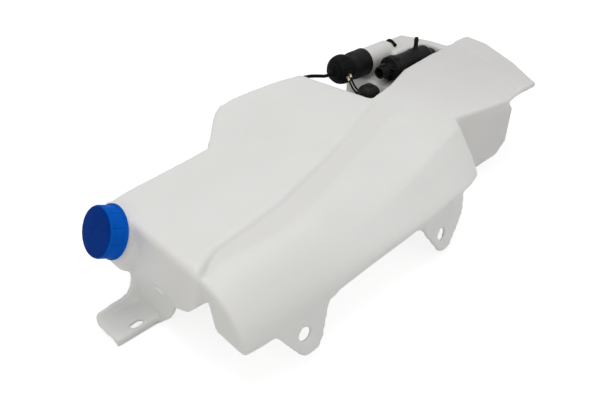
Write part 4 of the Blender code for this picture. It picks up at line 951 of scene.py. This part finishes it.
def pushed_out(x, y, z):
    """The X and Y of a point once the far corners and the edge of the flange are pushed out."""
    if y < LOBE_NEAR_Y and z < LOBE_HEIGHTS[1]:
        push = LOBE_PUSH * near_corner(x, y, LOBE_CORNER, LOBE_REACH) * (1 - eased(z, *LOBE_HEIGHTS))
        x += CORNER_OUT[0] * push
        y += CORNER_OUT[1] * push * (1 - eased(-y, *LOBE_FACE_DEPTHS))
    near_x, back_y, low_z = FLANGE_AREA
    if z > low_z and x > near_x and y < back_y:
        inside = along(FLANGE_EDGE, y) - x
        push = FLANGE_PUSH * (1 - eased(inside, 0.0, FLANGE_REACH)) * (1 - eased(y, *FLANGE_FADE))
        x += FLANGE_OUT[0] * push
        y += FLANGE_OUT[1] * push
    if z < BOX_HEIGHTS[1] and x > BOX_NEAR_X:
        push = BOX_PUSH * near_corner(x, y, BOX_CORNER, BOX_REACH) * (1 - eased(z, *BOX_HEIGHTS))
        x += CORNER_OUT[0] * push
        y += CORNER_OUT[1] * push
    return x, y


def lifted_corner(x, y, z):
    """The Z of a point once the underside of the near corner climbs towards the front."""
    if x >= CORNER_FAR_X or z >= CORNER_TOP_Z or not CORNER_SPAN[0] < y < CORNER_SPAN[1]:
        return z
    floor = CORNER_FLOOR_Z
    for start, slope in CORNER_SLOPES:
        floor += slope * max(0.0, start - y)
    return z + max(0.0, floor - z) * (1 - eased(x, *CORNER_FADE)) * eased(-y, *CORNER_DEPTHS)


def fitted(point):
    """Where a point of the skin moves, for the forms that the solids leave to the skin."""
    x, y, z = point
    y = fuller_back(x, y)
    z = raised_lip(x, y, stepped_band(x, y, z))
    x, y = pushed_out(x, y, z)
    return x, y, lifted_corner(x, y, z)


def collar():
    """The thick foot of the neck, fuller on its lower side."""
    profile = rounded([(0, -0.044), (0.026, -0.040), (0.0290, -0.026, 0.004), (0.0290, -0.018, 0.006),
                       (0.0275, -0.0070, 0.003), (0.0255, -0.0035), (0, -0.0035)])
    bm = placed(lathe(profile, 72), facing(NECK_CENTRE, NECK_AXIS))
    down = Vector((-NECK_AXIS.z, 0, NECK_AXIS.x))
    for vert in bm.verts:
        depth = (NECK_CENTRE - vert.co).dot(NECK_AXIS)
        vert.co += down * (0.0070 * eased(depth, 0.003, 0.009) + 0.0060 * eased(depth, 0.007, 0.020))
    return bm


def relax(bm, verts, factors):
    """Smooths the points once for each factor. A negative one gives back what the one before it shrank."""
    axes = {"use_axis_x": True, "use_axis_y": True, "use_axis_z": True}
    for factor in factors:
        bmesh.ops.smooth_vert(bm, verts=verts, factor=factor, **axes)


def make_tank():
    """The tank with the soft edges of a blown moulding."""
    obj = outside_of_tank()
    skin = obj.modifiers.new("Skin", "REMESH")
    skin.mode = "VOXEL"
    skin.voxel_size = VOXEL
    mesh = applied(obj)
    bm = bmesh.new()
    bm.from_mesh(mesh)
    bpy.data.meshes.remove(mesh)
    for vert in bm.verts:
        vert.co = fitted(vert.co)
    relax(bm, [v for v in bm.verts if not thin_part(v.co)], [0.5] * SOFT_PASSES)
    relax(bm, bm.verts[:], [0.6, -0.63] * EVEN_PASSES)
    for vert in bm.verts:
        vert.co.z = max(LOWEST_Z, vert.co.z)
    obj = scratch("skin", bm)
    fewer = obj.modifiers.new("Fewer", "DECIMATE")
    fewer.ratio = min(1.0, MOST_FACES / (2 * len(obj.data.polygons)))
    obj = scratch("skin_fewer", applied(obj))
    rim = facing(NECK_CENTRE, NECK_AXIS)
    neck = lathe(rounded([(0, -0.004), (NECK_RADIUS + 0.0002, -0.004), (NECK_RADIUS, NECK_LENGTH, 0.0010),
                          (0, NECK_LENGTH)]), 72)
    ledge = bar(NEAR_LEDGE_SIZE, NEAR_LEDGE, 0.0007)
    combine(obj, [scratch("neck", placed(neck, rim)), scratch("ledge", ledge)], "UNION")
    combine(obj, hole_cutters(), "DIFFERENCE")
    piece("tank_skin", shape_of(obj), "white_plastic", ["tank"], sharp=50)
    ridge = thread(NECK_RADIUS - 0.0002, 0.0008, 0.0030, 1.5)
    piece("neck_thread", ridge, "white_plastic", place=rim)


# The cap

def make_cap():
    """The screw cap, with wide panels round its grip, a rim at its foot and a border round its face."""
    outside = [(0, 0.0155), (CAP_BORE, 0.0155), (CAP_BORE, 0.0), (CAP_RIM - 0.0008, 0.0), (CAP_RIM, 0.0008),
               (CAP_RIM, 0.0022), (CAP_RIM - 0.0008, 0.0030), (CAP_GRIP + 0.0003, 0.0032), (CAP_GRIP, 0.0037),
               (CAP_GRIP, 0.0046), (CAP_GRIP, 0.0150), (CAP_GRIP, 0.0160), (CAP_GRIP - 0.0004, 0.0173),
               (CAP_GRIP - 0.0010, 0.0181), (CAP_GRIP - 0.0018, CAP_HEIGHT - 0.0001), (0.0238, CAP_HEIGHT),
               (0.0150, CAP_HEIGHT), (0.0080, CAP_HEIGHT - 0.0001), (0.0014, CAP_HEIGHT - 0.0001),
               (0.0012, CAP_HEIGHT - 0.0004), (0, CAP_HEIGHT - 0.0004)]
    bm = grooved(lathe(outside, 200), CAP_PANELS, math.radians(2.6), 0.0011, 0.0039, 0.0172, math.radians(4))
    rim = facing(NECK_CENTRE, NECK_AXIS)
    piece("screw_cap", bm, "blue_plastic", ["filler_cap"], rim, body="cap", sharp=40)
    ridge = thread(CAP_BORE + 0.0002, -0.0007, 0.0050, 1.4)
    piece("cap_thread", ridge, "blue_plastic", place=rim, body="cap")


# Pumps

def make_pump_1():
    """The booted pump: rubber boot with its seams, motor cover, head with the strap round it, and spigot."""
    place = facing(PUMP_1_SEAT, (1, 0, 0))
    arc = [(0.0136 + 0.0084 * math.sin(a), -0.0425 - 0.0167 * math.cos(a))
           for a in (math.radians(d) for d in range(0, 91, 9))]
    dome = [(0, -0.0632), (0.0030, -0.0632), (0.0036, -0.0628), (0.0116, -0.0628), (0.0132, -0.0622),
            (0.0138, -0.0608), (0.0137, -0.0600), (0.0131, -0.0595)] + arc + [
            (0.0220, -0.0400), (0.0214, -0.0372), (0.0203, -0.0345), (0.0197, -0.0338), (0.0186, -0.0334),
            (0.0175, -0.0334)]
    inside = [(0.0175, -0.0500), (0.0165, -0.0560), (0.0158, -0.0585), (0, -0.0585)]
    boot = lathe(dome + inside, 180)
    grooved(boot, 8, math.radians(3.0), 0.0012, -0.0580, -0.0360, math.radians(20))
    sag = place.to_3x3().inverted() @ BOOT_SHIFT
    for vert in boot.verts:
        vert.co += sag * eased(-vert.co.z, 0.030, 0.045)
    sleeve = rounded([(0, -0.0683), (0.0026, -0.0683), (0.0036, -0.0675, 0.0006), (0.0040, -0.0610, 0.001),
                      (0.0060, -0.0600), (0, -0.0600)])
    boot = joined([boot, lathe(sleeve, 32)])
    piece("pump_1_boot_skin", boot, "black_rubber", ["pump_1_boot"], place, sharp=45)
    shell = rounded([(0, -0.0582), (0.0156, -0.0582), (0.0163, -0.0555), (0.0172, -0.0490), (0.0172, -0.0360),
                     (0.0183, -0.0350), (0.0180, -0.0310, 0.01), (0.0184, -0.0275, 0.008),
                     (0.0203, -0.0232, 0.004), (0.0206, -0.0218), (0.0155, -0.0218), (0.0155, -0.0578),
                     (0, -0.0578)])
    piece("pump_1_shell", lathe(shell, 96), "black_plastic", ["pump_1_motor_cover"], place)
    head = rounded([(0.0042, -0.0215), (0.0202, -0.0215, 0.0006), (0.0208, -0.0205, 0.0006),
                    (0.0208, -0.0190), (0.0204, -0.0186), (0.0204, -0.0176), (0.0208, -0.0172),
                    (0.0208, -0.0020, 0.002),
                    (0.0210, -0.0008, 0.0006), (0.0210, 0.0042, 0.0010), (0.0197, 0.0042), (0.0197, -0.0015),
                    (0.0177, -0.0015), (0.0177, -0.0195), (0.0042, -0.0195)])
    bell = joined([ring(head, 96), spigot(0.0197, -0.0125, (1, 0, 0))])
    piece("pump_1_bell", bell, "black_plastic", ["pump_1_head"], place)


def spigot(radius, height, out):
    """A hose spigot with a barb, standing out of a pump's side."""
    reach = radius + 0.018
    profile = rounded([(0, radius - 0.0024), (0.0050, radius - 0.0024), (0.0046, radius + 0.0008, 0.001),
                       (0.00325, radius + 0.0030, 0.002), (0.00325, reach - 0.0060),
                       (0.0038, reach - 0.0050, 0.0006), (0.0036, reach - 0.0042, 0.0006),
                       (0.0026, reach, 0.0004), (0.0018, reach), (0.0018, reach - 0.012), (0, reach - 0.012)])
    return placed(lathe(profile, 40), facing((0, 0, height), out))


def bars_round(size, centre, bevel, turns):
    """Copies of a bar at turns about Z, in degrees."""
    return [placed(bar(size, centre, bevel), Matrix.Rotation(math.radians(turn), 4, "Z")) for turn in turns]


def make_pump_2():
    """The bare pump: plug socket, collar, motor cover, head with the upright spigot."""
    place = facing(PUMP_2_SEAT, (1, 0, 0))
    cover = rounded([(0, -0.1060), (0.0070, -0.1060), (0.0070, -0.1300), (0.0088, -0.1300, 0.0005),
                     (0.0092, -0.1290, 0.0005), (0.0092, -0.1240), (0.0097, -0.1236), (0.0097, -0.1224),
                     (0.0092, -0.1220), (0.0092, -0.1085, 0.0015), (0.0172, -0.1075, 0.0008),
                     (0.0184, -0.1060, 0.0008), (0.0184, -0.1035), (0.0178, -0.1030), (0.0178, -0.1018),
                     (0.0184, -0.1013), (0.0184, -0.0975, 0.0010), (0.0176, -0.0960, 0.0010),
                     (0.0172, -0.0940, 0.003), (0.0154, -0.0840, 0.008), (0.0148, -0.0700), (0.0145, -0.0697),
                     (0.0145, -0.0690), (0.0148, -0.0687), (0.0148, -0.0543), (0.0133, -0.0543),
                     (0.0133, -0.1040), (0, -0.1040)], 3)
    ribs = bars_round((0.0014, 0.0100, 0.0080), (0, 0.0128, -0.1110), 0.0003, (70, 160, 250, 340))
    latch = [bar((0.0056, 0.0030, 0.0110), (0, 0.0103, -0.1225), 0.0006)]
    lugs = bars_round((0.0050, 0.0026, 0.0110), (0, 0.0190, -0.1005), 0.0008, (25, 205))
    shell = joined([lathe(cover, 96)] + ribs + latch + lugs)
    piece("pump_2_shell", shell, "black_plastic", ["pump_2_motor_cover"], place)
    head = rounded([(0.0042, -0.0540), (0.0144, -0.0540, 0.0005), (0.0150, -0.0532, 0.0005),
                    (0.0150, -0.0500), (0.0156, -0.0494, 0.0004), (0.0156, -0.0400, 0.0006),
                    (0.0150, -0.0392, 0.0006),
                    (0.0150, -0.0280), (0.0130, -0.0280), (0.0130, -0.0520), (0.0042, -0.0520)])
    bell = joined([ring(head, 96), spigot(0.0150, -0.0450, (0, 1, 0))])
    piece("pump_2_bell", bell, "black_plastic", ["pump_2_head"], place)
    nose = rounded([(0.0042, -0.0278), (0.0149, -0.0278, 0.0004), (0.0148, -0.0210, 0.006),
                    (0.0118, -0.0120, 0.006), (0.0108, -0.0014, 0.0006), (0.0056, -0.0012), (0.0054, 0.0118),
                    (0.0042, 0.0118)])
    bm = placed(ring(nose, 64), place)
    for vert in bm.verts:
        vert.co.z -= NOZZLE_DROP * eased(vert.co.x, PUMP_2_SEAT.x - 0.026, PUMP_2_SEAT.x - 0.002)
    piece("pump_2_nose", bm, "black_plastic", ["pump_2_inlet_cover"])


# Level sensor

def make_sensor():
    """The sensor's head, with a skirt of ribs, a dome and a small disc on top."""
    foot = BAY_FLOOR_Z + 0.0014
    top = SENSOR_TOP_Z
    wall = SENSOR_RADIUS
    dome = [(wall * math.cos(a), top - 0.0115 + 0.0105 * math.sin(a))
            for a in (math.radians(d) for d in range(0, 71, 7))]
    profile = [(0, foot), (wall - 0.003, foot + GAP), (wall - 0.0012, foot + 0.003),
               (wall - 0.0012, top - 0.0215), (wall - 0.0004, top - 0.0205), (wall - 0.0004, top - 0.0185),
               (wall - 0.0010, top - 0.0180), (wall - 0.0010, top - 0.0140), (wall, top - 0.0132)] + dome
    profile += [(0.0056, top - 0.0012), (0.0054, top - 0.0006), (0.0050, top), (0.0026, top),
                (0.0022, top - 0.0004), (0, top - 0.0004)]
    head = grooved(lathe(profile, 144), 24, math.radians(2.6), 0.0006, foot + 0.004, top - 0.0216)
    gland = placed(lathe([(0, 0), (0.0030, 0), (0.0030, 0.0032), (0.0022, 0.0042), (0, 0.0042)], 24),
                   facing((-0.0100, 0.0112, 0.0835), (-0.55, 0.80, 0.12)))
    piece("sensor_dome", joined([head, gland]), "black_plastic", ["sensor_head"],
          Matrix.Translation(SENSOR_AXIS), sharp=40)


def make_leads():
    """The two leads between the boot and the sensor, with the brass sleeves of their joints."""
    for name, route in (("a", LEAD_ROUTE_A), ("b", LEAD_ROUTE_B)):
        points = smooth_route(route, 2.2 * LEAD_RADIUS)
        piece("lead_" + name, tube("lead", points, LEAD_RADIUS), "black_rubber", ["sensor_lead_" + name])
        joint = points[1:2 + int(0.34 * len(points))]
        piece(f"lead_{name}_sleeve", tube("sleeve", joint, LEAD_RADIUS + 0.0006), "brass")


def make_vent():
    """The bent vent tube, with a lip on its end and a foot on the tank."""
    points = smooth_route([VENT_FOOT + Vector(p) for p in VENT_ROUTE], VENT_RADIUS)
    edge = VENT_RADIUS + 0.0004
    lip = ring(rounded([(0.0014, -0.0016), (edge, -0.0016, 0.0004), (edge, 0.0012, 0.0004), (0.0018, 0.0012),
                        (0.0014, 0.0004)]), 32)
    foot = lathe([(VENT_RADIUS, -0.0006), (0.0046, -0.0006), (0.0046, 0.0006), (0.0036, 0.0012),
                  (VENT_RADIUS, 0.0016)], 32)
    parts = [tube("vent", points, VENT_RADIUS), placed(lip, facing(points[-1], points[-1] - points[-2])),
             placed(foot, Matrix.Translation(VENT_FOOT + Vector((0, 0, 0.0006))))]
    piece("vent_pipe", joined(parts), "black_rubber", ["vent_elbow"])


# The cable

def make_cable():
    """The cable to the vehicle, with the plug on its end."""
    points = smooth_route(CABLE_ROUTE, 2.4 * CABLE_RADIUS)
    cable = line_curve("cable", points, CABLE_RADIUS)
    cable.data.materials.append(FINISHES["black_rubber"])
    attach(cable, "reservoir")
    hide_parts("harness_cable")
    end = points[-1]
    size = PLUG_SIZE
    centre = Vector((end.x - GAP - size.x / 2, end.y, size.z / 2 + GAP))
    body = scratch("body", bar(size - Vector((0, 0.0006, 0)), centre, 0.0012))
    mouth = bar((0.024, size.y - 0.0036, size.z - 0.0036), centre - Vector((size.x / 2, 0, 0)), 0.0004)
    combine(body, [scratch("mouth", mouth)], "DIFFERENCE")
    rib = (0.0010, size.y - 0.0001, size.z + 0.0004)
    ribs = [bar(rib, centre + Vector((0.0030 + 0.0024 * k, 0, 0.0002)), 0.0003) for k in range(3)]
    latch = [bar((0.0100, 0.0040, 0.0014), centre + Vector((-0.0050, 0, size.z / 2 + 0.0004)), 0.0004)]
    plug_end = piece("cable_plug", joined([shape_of(body)] + ribs + latch), "black_plastic", ["harness_plug"],
                     sharp=30)


def main():
    make_camera()
    make_cable()
    make_world()
    make_floor()
    make_light()
    finish_nodes()
    make_tank()
    make_cap()
    make_pump_1()
    make_pump_2()
    make_sensor()
    make_leads()
    make_vent()


main()
bpy.context.scene.view_settings.view_transform = "Standard"
